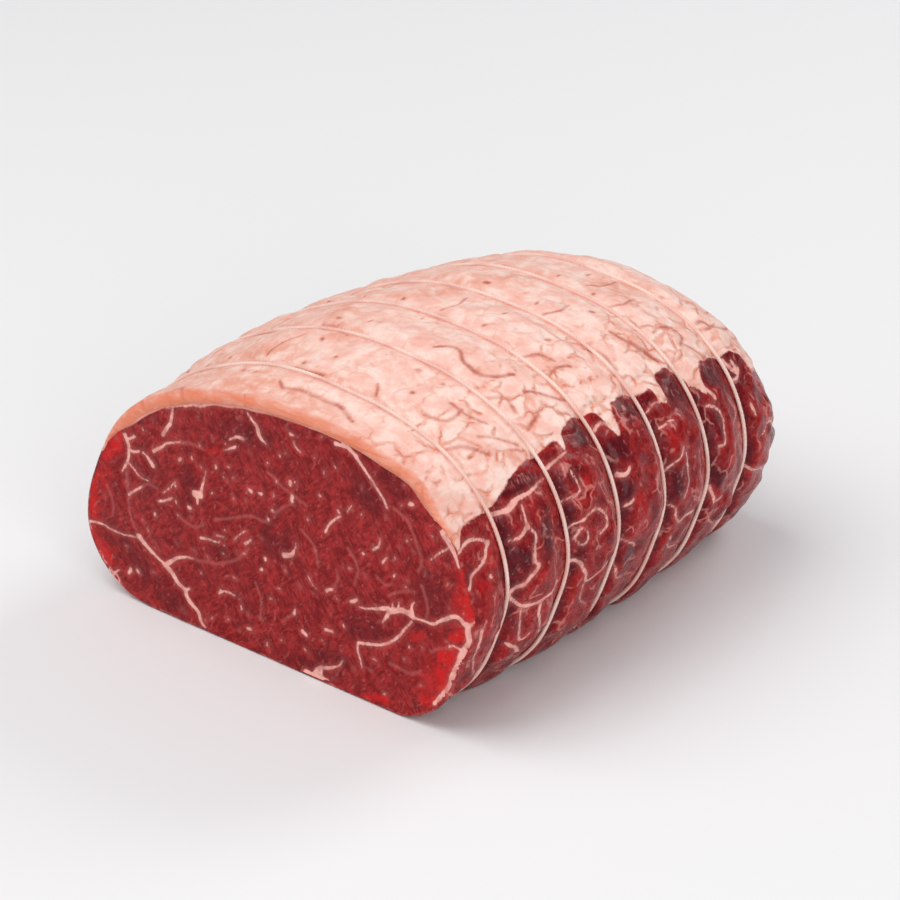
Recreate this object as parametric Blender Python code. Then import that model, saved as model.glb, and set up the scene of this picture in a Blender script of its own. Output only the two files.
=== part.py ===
"""Rolled beef roasting joint with a fat cap, tied with six loops of string.

Metres, +Z up. The roast lies along Y and rests on its flattened underside, with the
cut face towards -Y. The origin is at the middle of the underside. Sizes are written
in millimetres and turned into metres as each mesh is made.
"""
import math
import random

import bmesh
import bpy

MM = 0.001
TAU = 2.0 * math.pi

# Whole roast, in millimetres
LENGTH = 136.0          # along the core line; the leaning far end reaches a little further
LOOP_WIDTH = 130.4      # across the widest loop of string, middle to middle
LOOP_HEIGHT = 77.6
CORE_HEIGHT = 38.0      # height of the line that the outlines are drawn around

# String
STRING_DIAMETER = 1.5
STRING_COUNT = 6
STRING_SPACING = 20.15
FIRST_STRING = 12.6     # from the cut face
STRING_CLEARANCE = 0.35
UNDER_STRING = 0.8      # height of a loop's middle line where the roast rests

# Meat and fat
BULGE_BARE = 1.7        # crest between two loops, above the loops' middle line
BULGE_FAT = 0.75
BULGE_UNDER = 0.2       # between two strings low on both sides, where the roast turns under
UNDER_DIP = (1.0, 7.0, 24.0)    # heights where the crest starts to shrink, is lowest, is full again
BULGE_UNEVEN = 0.35     # most that a crest differs from the usual one
BULGE_SEED = 11
BULGE_BLEND = 16.0      # degrees over which the crest changes at the edge of the fat
GROOVE_REACH = 2.8
GROOVE_POWER = 1.6
LUMP = 0.55
LUMP_TURNS = (5.0, 3.0)         # waves round the roast
LUMP_LENGTHS = (7.0, 11.0)      # drift of those waves along it, in millimetres a radian
FAT_THICKNESS = 3.6
FAT_EDGE = 1.0
FAT_TAPER = 15.0
LAYER_GAP = 0.3
RIM_ROUND = 0.5
END_ROUND_LENGTH = 19.0
END_ROUND_DEPTH = 13.5
END_LEAN = 0.15         # how far the underside runs on past the top, for each unit of height

# Outline of a loop of string at its full size, x and z, from the right side over the top
LOOP_OUTLINE = (
    (65, 40), (60, 56), (48, 68.2), (33, 74.6), (16, 77.2), (0, 77.6), (-16, 75.2),
    (-30, 70.2), (-42, 64), (-52, 55), (-60.5, 42), (-65.4, 25), (-60.5, 9), (-44, 0.4), (-22, 0.4),
    (0, 0.4), (22, 0.4), (42, 0.4), (54, 10), (61.5, 25),
)
# Outline of the cut face, drawn the same way
FACE_OUTLINE = (
    (64.5, 33), (61.5, 44), (58, 53), (53, 59), (46.5, 66), (34, 69.7), (16, 72), (0, 71.8),
    (-17, 69.3), (-31, 65), (-42, 59.8), (-52.5, 51), (-60.8, 37.3), (-65.8, 19), (-62.2, 9),
    (-53.8, 2.2), (-40, -0.4), (-20, -0.4), (0, -0.4), (24, -0.4), (42, 0.6), (52.5, 7), (60, 21),
)
# Width and height of the loops' outline from the cut face to the far end
LOOP_SIZES = (
    (128.0, 73.0), (126.6, 74.6), (130.4, 77.4), (129.7, 77.6), (126.4, 76.4),
    (122.4, 74.4), (115.4, 70.6), (109.5, 66.5),
)
# Edge of the fat on the right, as distance from the cut face and angle round the core
RIGHT_EDGE = (
    (0, 14), (12, 19), (26, 23), (42, 25), (62, 27.2), (87, 27.2), (107, 26.5), (120, 24.5),
    (134, 18),
)
LEFT_EDGE = ((0, 175), (14, 171), (40, 167), (70, 170), (100, 166), (134, 172))
SCALLOP = 1.1           # wave of both edges, in degrees, one wave to a loop spacing

BARE_COLUMNS = 28
FAT_COLUMNS = 18
LOOP_SIDES = 1          # bevel resolution that gives the string six sides

FACE_Y = -LENGTH / 2
END_Y = LENGTH / 2
STRING_LIFT = STRING_DIAMETER / 2 + STRING_CLEARANCE
OUTWARD_STEP = 0.02     # radians either side of the point where a direction is taken
LOOP_PLACES = [FACE_Y + FIRST_STRING + i * STRING_SPACING for i in range(STRING_COUNT)]


def smoothstep(value):
    value = min(max(value, 0.0), 1.0)
    return value * value * (3.0 - 2.0 * value)


def hermite(knots, place):
    """Smooth curve through knots of (place, value), read at one place."""
    index = 0
    while index < len(knots) - 2 and place > knots[index + 1][0]:
        index += 1
    before = knots[max(index - 1, 0)]
    start, end = knots[index], knots[index + 1]
    after = knots[min(index + 2, len(knots) - 1)]
    width = end[0] - start[0]
    share = min(max((place - start[0]) / width, 0.0), 1.0)
    start_slope = (end[1] - before[1]) / (end[0] - before[0]) * width
    end_slope = (after[1] - start[1]) / (after[0] - start[0]) * width
    rise = end[1] - start[1]
    cubic = start_slope + end_slope - 2.0 * rise
    square = 3.0 * rise - 2.0 * start_slope - end_slope
    return start[1] + share * (start_slope + share * (square + share * cubic))


def polar_knots(outline):
    """Angle and distance of an outline's points about the core, with both ends repeated."""
    knots = []
    for x, z in outline:
        rise = z - CORE_HEIGHT
        knots.append((math.atan2(rise, x) % TAU, math.hypot(x, rise)))
    knots.sort()
    turned_back = [(angle - TAU, radius) for angle, radius in knots[-2:]]
    turned_on = [(angle + TAU, radius) for angle, radius in knots[:2]]
    return turned_back + knots + turned_on


LOOP_KNOTS = polar_knots(LOOP_OUTLINE)
FACE_KNOTS = polar_knots(FACE_OUTLINE)
SIZE_PLACES = [FACE_Y] + LOOP_PLACES + [END_Y]
WIDTH_KNOTS = [(y, size[0]) for y, size in zip(SIZE_PLACES, LOOP_SIZES)]
HEIGHT_KNOTS = [(y, size[1]) for y, size in zip(SIZE_PLACES, LOOP_SIZES)]


def loop_line(y, angle):
    """Point (x, z) of the line that a string would follow at this place along the roast."""
    radius = hermite(LOOP_KNOTS, angle % TAU)
    x = radius * math.cos(angle) * hermite(WIDTH_KNOTS, y) / LOOP_WIDTH
    z = CORE_HEIGHT + radius * math.sin(angle)
    z = UNDER_STRING + (z - UNDER_STRING) * hermite(HEIGHT_KNOTS, y) / LOOP_HEIGHT
    face_share = 1.0 - smoothstep((y - FACE_Y) / FIRST_STRING)
    if face_share > 0.0:
        face_radius = hermite(FACE_KNOTS, angle % TAU)
        x += face_share * (face_radius * math.cos(angle) - x)
        z += face_share * (CORE_HEIGHT + face_radius * math.sin(angle) - z)
    lowest = UNDER_STRING * (1.0 - face_share)
    return x, max(z, lowest)


def outward(y, angle):
    """Unit direction (x, z) out of the loop line."""
    step = OUTWARD_STEP
    x0, z0 = loop_line(y, angle - step)
    x1, z1 = loop_line(y, angle + step)
    size = math.hypot(x1 - x0, z1 - z0)
    return (z1 - z0) / size, (x0 - x1) / size


def wavy_edge(y, knots):
    """Angle of an edge of the fat, which waves once between two loops."""
    along = y - FACE_Y
    wave = math.sin(TAU * (along - FIRST_STRING) / STRING_SPACING)
    return math.radians(hermite(knots, along) + SCALLOP * wave)


def right_edge(y):
    return wavy_edge(y, RIGHT_EDGE)


def left_edge(y):
    return wavy_edge(y, LEFT_EDGE)


def crest_changes():
    """How much each crest between loops stands above or below the usual one."""
    draw = random.Random(BULGE_SEED)
    return [draw.uniform(-1.0, 1.0) * BULGE_UNEVEN for _ in range(STRING_COUNT + 1)]


CREST_CHANGES = crest_changes()


def crest_height(y, angle):
    """Height of the crest above the loop line: low on the fat and where the meat turns under."""
    turn = angle % TAU
    inside = min(turn - right_edge(y), left_edge(y) - turn)
    fat_share = smoothstep(0.5 + inside / math.radians(BULGE_BLEND))
    bay = sum(1 for place in LOOP_PLACES if place < y)
    bare = BULGE_BARE + CREST_CHANGES[bay]
    if bay < STRING_COUNT:
        foot, lowest, full = UNDER_DIP
        height = loop_line(y, angle)[1]
        dip = smoothstep((height - foot) / (lowest - foot))
        dip *= 1.0 - smoothstep((height - lowest) / (full - lowest))
        bare += (BULGE_UNDER - bare) * dip
    return bare + (BULGE_FAT - bare) * fat_share


def lump_height(y, angle):
    """Slow unevenness of the meat, a wave round the roast that drifts along it."""
    onward = math.sin(LUMP_TURNS[0] * angle + y / LUMP_LENGTHS[0])
    backward = math.cos(LUMP_TURNS[1] * angle - y / LUMP_LENGTHS[1])
    return LUMP * onward * backward


def surface_rise(y, angle):
    """Height of the skin above the loop line: a groove under each string, crests between."""
    nearest = min(abs(y - place) for place in LOOP_PLACES)
    pillow = 1.0 - math.exp(-((nearest / GROOVE_REACH) ** GROOVE_POWER))
    face_share = 1.0 - smoothstep((y - FACE_Y) / FIRST_STRING)
    crest = crest_height(y, angle) + lump_height(y, angle)
    return -STRING_LIFT * (1.0 - pillow) + crest * pillow * (1.0 - face_share)


def end_scale(y):
    """How far a section shrinks towards the core in the rounded far end."""
    share = max((y - (END_Y - END_ROUND_LENGTH)) / END_ROUND_LENGTH, 0.0)
    inset = END_ROUND_DEPTH * (1.0 - math.sqrt(max(1.0 - share * share, 0.0)))
    return 1.0 - 2.0 * inset / LOOP_WIDTH


def end_lean(y):
    """Slope of a section behind the last string, growing towards the far end."""
    return END_LEAN * max((y - LOOP_PLACES[-1]) / (END_Y - LOOP_PLACES[-1]), 0.0)


def skin_point(y, angle, depth=0.0):
    """Point (x, y, z) of the roast's surface, or of a layer at some depth below it."""
    x, z = loop_line(y, angle)
    out_x, out_z = outward(y, angle)
    rise = surface_rise(y, angle)
    if y == FACE_Y:
        rise -= RIM_ROUND
    x += out_x * rise
    z = max(z + out_z * rise, 0.0)
    x -= out_x * depth
    z -= out_z * depth
    scale = end_scale(y)
    z = CORE_HEIGHT + (z - CORE_HEIGHT) * scale
    return x * scale, y + end_lean(y) * (CORE_HEIGHT - z), z


def fat_depth(y, angle):
    """Thickness of the fat, which thins towards both of its edges."""
    radius = LOOP_WIDTH / 2
    inside = min(angle - right_edge(y), left_edge(y) - angle) * radius
    return FAT_EDGE + (FAT_THICKNESS - FAT_EDGE) * smoothstep(inside / FAT_TAPER)


def spread(start, end, count):
    """Evenly spaced values from start to end, count steps apart."""
    return [start + (end - start) * i / count for i in range(count + 1)]


def bare_angles(y):
    return spread(left_edge(y), right_edge(y) + TAU, BARE_COLUMNS)


def fat_angles(y, inset):
    """Angles across the fat, with both ends drawn in by an inset in millimetres."""
    turn = inset / (LOOP_WIDTH / 2)
    return spread(right_edge(y) + turn, left_edge(y) - turn, FAT_COLUMNS)


def section_places():
    """Where the sections stand along Y, closest together beside each string."""
    places = [FACE_Y, FACE_Y + RIM_ROUND]
    before_first = (7.0, 3.2, 1.0)
    places += [LOOP_PLACES[0] - distance for distance in before_first]
    bay_shares = (0.0, 0.05, 0.16, 0.36, 0.64, 0.84, 0.95)
    for place in LOOP_PLACES[:-1]:
        places += [place + share * STRING_SPACING for share in bay_shares]
    after_last = (0.0, 1.0, 3.2, 7.0, 11.5, 15.5, 19.0, 21.8)
    places += [LOOP_PLACES[-1] + distance for distance in after_last]
    places.append(END_Y)
    return places


def meat_ring(y):
    """Closed section of the meat: bare round the underside, stepped down below the fat."""
    ring = [skin_point(y, angle) for angle in bare_angles(y)]
    for angle in fat_angles(y, 0.0):
        ring.append(skin_point(y, angle, fat_depth(y, angle) + LAYER_GAP))
    return ring


def fat_ring(y):
    """Closed section of the fat: its outer side, then its inner side the other way."""
    angles = fat_angles(y, LAYER_GAP)
    outer = [skin_point(y, angle) for angle in angles]
    inner = [skin_point(y, angle, fat_depth(y, angle)) for angle in angles]
    return outer + inner[::-1]


def make_collection(name):
    collection = bpy.data.collections.new(name)
    bpy.context.scene.collection.children.link(collection)
    return collection


def make_material(name, color, roughness, subsurface):
    material = bpy.data.materials.new(name)
    material.use_nodes = True
    shader = material.node_tree.nodes["Principled BSDF"]
    shader.inputs["Base Color"].default_value = (*color, 1.0)
    shader.inputs["Roughness"].default_value = roughness
    shader.inputs["Metallic"].default_value = 0.0
    shader.inputs["Subsurface Weight"].default_value = subsurface
    material.diffuse_color = (*color, 1.0)
    return material


def join_rings(mesh, rings):
    """Skin of quads between each ring of vertices and the next."""
    for ring, following in zip(rings, rings[1:]):
        for i in range(len(ring)):
            j = (i + 1) % len(ring)
            mesh.faces.new((ring[i], ring[j], following[j], following[i]))


def cap_whole(mesh, ring):
    mesh.faces.new(ring)


def cap_strip(mesh, ring):
    """Cap of a band: quads between its outer side and its inner side."""
    last = len(ring) - 1
    for i in range(len(ring) // 2 - 1):
        mesh.faces.new((ring[i], ring[i + 1], ring[last - i - 1], ring[last - i]))


def loft(name, ring_at, cap, material, collection):
    """Closed solid through sections that differ along the roast."""
    mesh = bmesh.new()
    rings = []
    for y in section_places():
        ring = [mesh.verts.new([value * MM for value in point]) for point in ring_at(y)]
        rings.append(ring)
    join_rings(mesh, rings)
    cap(mesh, rings[0])
    cap(mesh, rings[-1])
    bmesh.ops.recalc_face_normals(mesh, faces=mesh.faces)
    data = bpy.data.meshes.new(name)
    mesh.to_mesh(data)
    mesh.free()
    data.materials.append(material)
    data.shade_smooth()
    data.set_sharp_from_angle(angle=math.radians(50.0))
    solid = bpy.data.objects.new(name, data)
    collection.objects.link(solid)
    return solid


def make_string(index, y, material, collection):
    """One tied loop: a closed curve with a round section, in the groove of its place."""
    curve = bpy.data.curves.new(f"string_{index}", "CURVE")
    curve.dimensions = "3D"
    curve.bevel_depth = STRING_DIAMETER / 2 * MM
    curve.bevel_resolution = LOOP_SIDES
    angles = bare_angles(y)[:-1] + fat_angles(y, 0.0)[:-1]
    spline = curve.splines.new("POLY")
    spline.points.add(len(angles) - 1)
    for point, angle in zip(spline.points, angles):
        x, z = loop_line(y, angle)
        point.co = (x * MM, y * MM, z * MM, 1.0)
    spline.use_cyclic_u = True
    curve.materials.append(material)
    loop = bpy.data.objects.new(f"string_{index}", curve)
    collection.objects.link(loop)
    return loop


def centre_on_origin(solid, others):
    """Move everything level so that the solid's sides and ends are as far from the origin."""
    for axis in (0, 1):
        low = min(vertex.co[axis] for vertex in solid.data.vertices)
        high = max(vertex.co[axis] for vertex in solid.data.vertices)
        for piece in [solid, *others]:
            piece.location[axis] = -(low + high) / 2


def main():
    for item in list(bpy.data.objects):
        bpy.data.objects.remove(item, do_unlink=True)
    collection = make_collection("beef_minute_roast")
    red = make_material("meat", (0.235, 0.022, 0.026), 0.38, 0.10)
    cream = make_material("fat", (0.80, 0.52, 0.42), 0.45, 0.15)
    twine = make_material("string", (0.78, 0.53, 0.47), 0.70, 0.0)
    meat = loft("meat", meat_ring, cap_whole, red, collection)
    others = [loft("fat_cap", fat_ring, cap_strip, cream, collection)]
    for index, y in enumerate(LOOP_PLACES, start=1):
        others.append(make_string(index, y, twine, collection))
    centre_on_origin(meat, others)


main()
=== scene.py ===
"""Looks of a rolled beef roasting joint: red marbled meat under a fat cap, tied with string.

Laid out as an add-on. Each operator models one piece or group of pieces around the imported
solids, and the panel lists them. Sizes are in millimetres and turned into metres as each
mesh is made, apart from the properties, which are in metres.
"""
import math
import random

import bpy
import numpy as np
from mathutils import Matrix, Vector
from mathutils.geometry import delaunay_2d_cdt


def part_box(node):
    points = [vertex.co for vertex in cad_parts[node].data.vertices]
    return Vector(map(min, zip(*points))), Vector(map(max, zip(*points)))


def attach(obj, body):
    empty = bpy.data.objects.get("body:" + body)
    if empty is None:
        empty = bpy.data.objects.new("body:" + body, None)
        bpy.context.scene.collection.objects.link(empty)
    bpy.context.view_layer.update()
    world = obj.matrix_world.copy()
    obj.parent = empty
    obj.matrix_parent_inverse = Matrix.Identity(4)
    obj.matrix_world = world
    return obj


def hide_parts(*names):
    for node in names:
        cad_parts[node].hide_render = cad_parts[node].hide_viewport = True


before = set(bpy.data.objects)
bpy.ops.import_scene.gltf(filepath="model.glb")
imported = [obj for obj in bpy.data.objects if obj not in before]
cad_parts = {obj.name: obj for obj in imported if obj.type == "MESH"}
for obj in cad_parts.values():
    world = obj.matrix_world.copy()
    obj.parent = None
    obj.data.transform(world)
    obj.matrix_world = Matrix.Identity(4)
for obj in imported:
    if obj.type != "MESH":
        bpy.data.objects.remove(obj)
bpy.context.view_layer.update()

bl_info = {
    "name": "Tied Beef Roast",
    "version": (1, 0, 0),
    "blender": (4, 5, 0),
    "location": "View3D > Sidebar > Roast",
    "description": "Models the looks of a rolled beef joint with its fat cap and string",
    "category": "Object",
}

MM = 0.001
TAU = 2.0 * math.pi

# The solids' own sizes and outlines, in millimetres, repeated from the CAD source
LENGTH = 136.0
LOOP_WIDTH = 130.4
LOOP_HEIGHT = 77.6
CORE_HEIGHT = 38.0
STRING_COUNT = 6
STRING_SPACING = 20.15
FIRST_STRING = 12.6
STRING_LIFT = 1.1
UNDER_STRING = 0.8
BULGE_BARE = 1.7
BULGE_UNDER = 0.2
UNDER_DIP = (1.0, 7.0, 24.0)
BULGE_FAT = 0.75
BULGE_UNEVEN = 0.35
BULGE_SEED = 11
BULGE_BLEND = 16.0
GROOVE_REACH = 2.8
GROOVE_POWER = 1.6
LUMP = 0.55
LUMP_TURNS = (5.0, 3.0)
LUMP_LENGTHS = (7.0, 11.0)
FAT_THICKNESS = 3.6
FAT_EDGE = 1.0
FAT_TAPER = 15.0
END_ROUND_LENGTH = 19.0
END_ROUND_DEPTH = 13.5
END_LEAN = 0.15
LOOP_OUTLINE = (
    (65, 40), (60, 56), (48, 68.2), (33, 74.6), (16, 77.2), (0, 77.6), (-16, 75.2),
    (-30, 70.2), (-42, 64), (-52, 55), (-60.5, 42), (-65.4, 25), (-60.5, 9), (-44, 0.4), (-22, 0.4),
    (0, 0.4), (22, 0.4), (42, 0.4), (54, 10), (61.5, 25),
)
FACE_OUTLINE = (
    (64.5, 33), (61.5, 44), (58, 53), (53, 59), (46.5, 66), (34, 69.7), (16, 72), (0, 71.8),
    (-17, 69.3), (-31, 65), (-42, 59.8), (-52.5, 51), (-60.8, 37.3), (-65.8, 19), (-62.2, 9),
    (-53.8, 2.2), (-40, -0.4), (-20, -0.4), (0, -0.4), (24, -0.4), (42, 0.6), (52.5, 7), (60, 21),
)
LOOP_SIZES = (
    (128.0, 73.0), (126.6, 74.6), (130.4, 77.4), (129.7, 77.6), (126.4, 76.4),
    (122.4, 74.4), (115.4, 70.6), (109.5, 66.5),
)
RIGHT_EDGE = (
    (0, 14), (12, 19), (26, 23), (42, 25), (62, 27.2), (87, 27.2), (107, 26.5), (120, 24.5),
    (134, 18),
)
LEFT_EDGE = ((0, 175), (14, 171), (40, 167), (70, 170), (100, 166), (134, 172))
SCALLOP = 1.1
FACE_Y = -LENGTH / 2
END_Y = LENGTH / 2
LOOP_PLACES = FACE_Y + FIRST_STRING + STRING_SPACING * np.arange(STRING_COUNT)
SHIFT_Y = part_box("meat")[0].y / MM - FACE_Y     # from the source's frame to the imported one

# Maps that the marks are drawn on: the cut face as (x, z), the sides as (distance along
# from MAP_ZERO behind the cut face, degrees round the core with 0 at the right and 90 on top)
MAP_ZERO = 70.0
MM_PER_DEGREE = 1.14
SIDE_UNIT = (1.0, MM_PER_DEGREE)

# Seams of pale fat and tendon on the cut face: widths at both ends, then the line
FACE_SEAMS = (
    (0.7, 1.3, (-36.5, 58.6), (-34, 59.5), (-30, 61.3), (-25, 62.8), (-20, 64.8), (-12, 66.6)),
    (1.0, 1.5, (-34.0, 59.0), (-34.8, 55), (-36, 53), (-37.3, 51)),
    (0.5, 1.7, (-9, 66), (-7.5, 64.5), (-5.5, 62.8), (-5, 61.4)),
    (1.7, 0.5, (-5, 61.4), (-3.8, 60), (-2.5, 59.3)),
    (1.5, 0.7, (-50.9, 46.4), (-49.8, 43.5), (-50, 41), (-51.3, 38), (-52.3, 36)),
    (0.6, 1.0, (-50, 45.5), (-47.5, 47.3)),
    (1.1, 0.8, (-49.5, 42.7), (-48, 42.6), (-46, 43.7)),
    (0.6, 1.6, (-44.8, 43.8), (-43, 42.5), (-41.3, 41.0)),
    (0.8, 0.6, (-49.8, 38.8), (-48, 37.6), (-46, 36.4), (-43.5, 36.3)),
    (1.2, 0.6, (-41, 45.3), (-38, 47.3), (-35.5, 49), (-32, 50.4)),
    (0.5, 1.1, (-16.5, 53.3), (-13, 55.3)),
    (0.6, 1.2, (-15, 56.7), (-12.6, 58), (-10.5, 58.2)),
    (0.9, 0.8, (-39.5, 31.8), (-37.5, 32.5), (-35, 34)),
    (0.6, 0.6, (-38, 34.5), (-35.5, 37), (-33.5, 39)),
    (1.0, 0.7, (-50.3, 29.8), (-47.5, 32.3), (-45.5, 34)),
    (0.5, 0.5, (-14, 29.5), (-12, 31.5), (-10, 33.5)),
    (1.1, 0.9, (-10.3, 29.8), (-8.3, 31.5)),
    (1.0, 0.8, (-25.5, 26.3), (-22, 26.7)),
    (0.8, 0.6, (-21.5, 26.5), (-20, 27)),
    (0.8, 0.6, (-20, 28.8), (-17.5, 29.1)),
    (2.2, 2.4, (-27.2, 38), (-25.3, 38.4)),
    (1.3, 0.5, (-24.8, 39), (-23.8, 42), (-22.8, 45.5)),
    (1.3, 1.0, (-26.3, 37), (-26.3, 35.7)),
    (0.8, 0.7, (-20, 12.5), (-18.5, 13.5), (-16.5, 14), (-14.5, 13.8)),
    (2.0, 1.2, (-47.0, 19), (-45, 17.4), (-43, 16.0)),
    (0.9, 1.2, (-45, 17.8), (-43, 16.3), (-41, 15.2), (-38.5, 14)),
    (1.6, 0.7, (-38.5, 14), (-36.4, 15.9), (-34.5, 17.3), (-31, 19), (-28.5, 19.5)),
    (1.8, 1.4, (-38.5, 14), (-36, 12.3), (-34.5, 10.5), (-31.5, 9.3)),
    (1.5, 0.8, (-34.5, 10.5), (-31.5, 9.5), (-30, 10.2)),
    (1.6, 1.1, (-31.5, 9), (-31, 7.5), (-29, 5.8), (-27.5, 5), (-26.5, 3), (-25.5, 1.5), (-24, 0.2)),
    (0.6, 0.8, (-65, 17), (-64.5, 14), (-61, 9), (-58, 6), (-56, 5), (-54, 2.5), (-50, 0.8)),
    (0.9, 0.5, (-56.5, 5.8), (-55, 7)),
    (0.8, 0.7, (-65.5, 17.8), (-61, 18.3), (-55, 17.6), (-48, 18.5)),
    (1.4, 0.9, (22, 68.5), (24, 67), (26, 65.8), (28, 64), (30.5, 61.8), (33, 59.5), (35, 57.5), (36.3, 55.3)),
    (1.4, 0.9, (20, 66.9), (23, 67), (27, 65.7)),
    (2.4, 0.9, (54, 54.4), (56, 52.3), (57.5, 50), (58.7, 47)),
    (0.8, 0.6, (55.5, 51), (52.5, 48.5), (50, 46)),
    (2.4, 2.0, (61.5, 32.2), (61.6, 30.6)),
    (1.5, 0.7, (60.6, 32.3), (58.3, 33.6), (55.5, 32.5), (53, 30.5), (50.5, 29), (47, 28.8), (44.5, 29)),
    (1.4, 0.5, (62, 32.5), (64, 34.6)),
    (2.4, 1.2, (61.6, 30.5), (62, 28), (60, 24.5), (58.5, 21), (57, 17.5), (55.5, 14), (53.5, 11), (51, 7.5)),
    (1.2, 0.7, (60, 25), (57, 25.3), (55.5, 24.5)),
    (1.9, 1.5, (44.3, 29.0), (44.0, 30)),
    (1.3, 0.5, (44.1, 29.5), (44, 31.5), (44.8, 33)),
    (1.5, 1.8, (44.3, 29), (41, 29.3), (38, 28), (36.8, 27.5)),
    (1.5, 0.6, (37.0, 27.4), (36, 25.5), (34.5, 23.5)),
    (1.4, 0.5, (37, 28.2), (33, 27), (30, 26), (27, 25.5)),
    (1.0, 0.4, (39.8, 29), (40, 31.2)),
    (1.0, 0.4, (37.8, 28.5), (38.2, 30.6)),
    (0.8, 1.0, (44, 27.5), (42.5, 25.5), (40.5, 22.8), (38.5, 20.5), (36, 18.7), (34, 17.5), (30, 16.3), (27, 15.5)),
    (1.0, 0.7, (27, 15.5), (26.7, 13.5), (27.5, 11), (28, 9)),
    (1.2, 3.6, (14.5, 4.0), (13.6, 2.6), (13.0, 0.8)),
    (2.6, 2.6, (9.5, 0.3), (16.5, 0.2)),
    (1.3, 0.5, (14.5, 3.8), (18, 5.3), (20.5, 7), (21.8, 9)),
    (0.8, 0.7, (6.5, 62.8), (8, 61.5), (8.8, 61)),
    (0.9, 0.7, (16.5, 42.2), (17.5, 44.5), (19.5, 46.5), (21.5, 48)),
    (0.7, 0.5, (23.5, 50), (25, 52)),
    (0.9, 0.6, (31.8, 42.5), (33.5, 44), (34, 46)),
    (0.8, 0.6, (34.8, 40), (36.2, 42)),
    (1.7, 0.5, (2.5, 30.8), (5, 31.8), (6.3, 33.5), (7, 35.5)),
    (0.7, 0.5, (10.5, 28), (11.5, 26.5), (13, 25.5)),
    (1.1, 0.8, (16.5, 26), (18.5, 27)),
    (1.3, 1.0, (24.5, 26), (26.5, 27.3)),
    (1.2, 0.9, (16, 15.2), (18.5, 15.5)),
)
# Fainter pink lines on the cut face
FACE_TRACES = (
    (0.9, 0.7, (38.5, 56), (41, 55), (43.5, 53.5), (45.5, 49.5), (46.8, 46), (47.2, 44), (46, 41.5)),
    (0.8, 0.6, (-32, 50.4), (-28, 51.6), (-24, 51.0)),
    (0.7, 0.6, (-45.5, 34), (-43, 35.4), (-40, 35.2)),
    (0.8, 0.5, (0, 41.5), (3.5, 44.5), (6, 46)),
    (0.7, 0.5, (37, 32), (40, 34), (44.5, 35.7)),
    (0.7, 0.5, (2, 12.5), (5, 15.5)),
    (0.7, 0.5, (18.5, 27), (20.5, 30.5), (20, 33)),
    (0.8, 0.6, (37, 13.5), (41, 13.1), (44, 13.3), (47, 15)),
    (0.9, 0.7, (-51, 36), (-50.5, 31), (-50.2, 26), (-48.6, 21)),
    (0.8, 0.6, (-20.5, 33), (-14, 35.5), (-8, 38), (-3, 38)),
    (0.8, 0.5, (-27, 19.6), (-20, 21), (-13, 24.5), (-9, 29)),
    (0.9, 0.6, (-2, 52), (4, 49), (11, 47.5)),
    (0.8, 0.6, (9, 40), (13, 36.5), (14, 32)),
    (0.9, 0.6, (24, 40), (27, 36), (26, 31)),
    (0.8, 0.6, (47, 38), (49, 33), (48.5, 30)),
    (0.7, 0.5, (50, 21.5), (53.5, 23.5), (57, 24.5)),
    (0.7, 0.5, (-58, 30), (-56, 26), (-56.5, 22)),
    (0.8, 0.6, (-33, 30), (-28, 28.6), (-24, 30.4)),
    (0.7, 0.5, (-7, 20), (-5, 15), (-6, 10)),
    (0.8, 0.5, (33, 36), (36, 34.5), (38, 35.5)),
)
# Flecks of fat in the cut face: x, z, width
FACE_FLECKS = (
    (-32, 45.6, 1.3), (-27.8, 47.5, 0.9), (-19.6, 47.5, 1.1), (-15.5, 49, 0.8), (-17, 45.5, 0.8),
    (-2, 54.5, 0.8), (-8.5, 45, 1.5), (-5, 45.3, 1.3), (-28.8, 33.5, 1.5), (-33.5, 33.5, 0.9),
    (-41.2, 27.3, 1.3), (-3.8, 27.5, 1.4), (-5.2, 24.3, 1.3), (-14, 19, 0.9), (-26.2, 16.2, 0.9),
    (-2, 17.3, 0.9), (-12.3, 11.2, 0.9), (-10, 5.8, 1.4), (-3.5, 4, 0.9), (-51.5, 7.7, 1.5),
    (-48.5, 8.7, 1.5), (-1, 41.8, 1.2), (-2.5, 38.8, 1.2), (-25, 52, 0.8), (5.9, 64.8, 1.2),
    (20, 60.5, 0.9), (16.5, 57.8, 0.9), (2, 57.8, 0.9), (5.2, 51.2, 1.6), (15, 51.2, 1.2),
    (5.8, 47.2, 1.6), (44, 58.7, 1.3), (20.7, 49, 1.1), (28.8, 40.3, 1.2), (38.5, 38, 0.9),
    (5.7, 16.3, 1.4), (9, 11.7, 1.5), (9, 7, 0.9), (32, 12.7, 1.0), (35, 4.3, 0.9), (22, 18.3, 0.9),
    (24.5, 35, 0.8), (11, 43.5, 0.8), (-21, 40, 0.8), (-44, 22, 0.8), (-17, 6, 0.8), (43, 20, 0.8),
)
# Patches of clear bright red on the cut face: x, z, reach across, reach up, tilt in degrees
FACE_BRIGHT = (
    (-63, 23.5, 2.2, 5.0, 5), (-60.5, 12.5, 5.6, 2.2, -48), (-55.5, 42.5, 2.6, 5.5, -20),
    (60.5, 43, 1.9, 10.5, 10), (58.5, 36.8, 2.2, 4.0, 0), (55.8, 21.5, 2.7, 5.5, -12),
    (50, 14, 3.2, 6.0, -18), (49.5, 7.5, 3.4, 2.2, 0), (-58.5, 32, 2.0, 5.0, -10),
    (-21, 52, 3.0, 1.0, 20), (1, 38, 3.0, 1.2, 50), (46, 24, 3.0, 1.0, 30),
)
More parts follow.
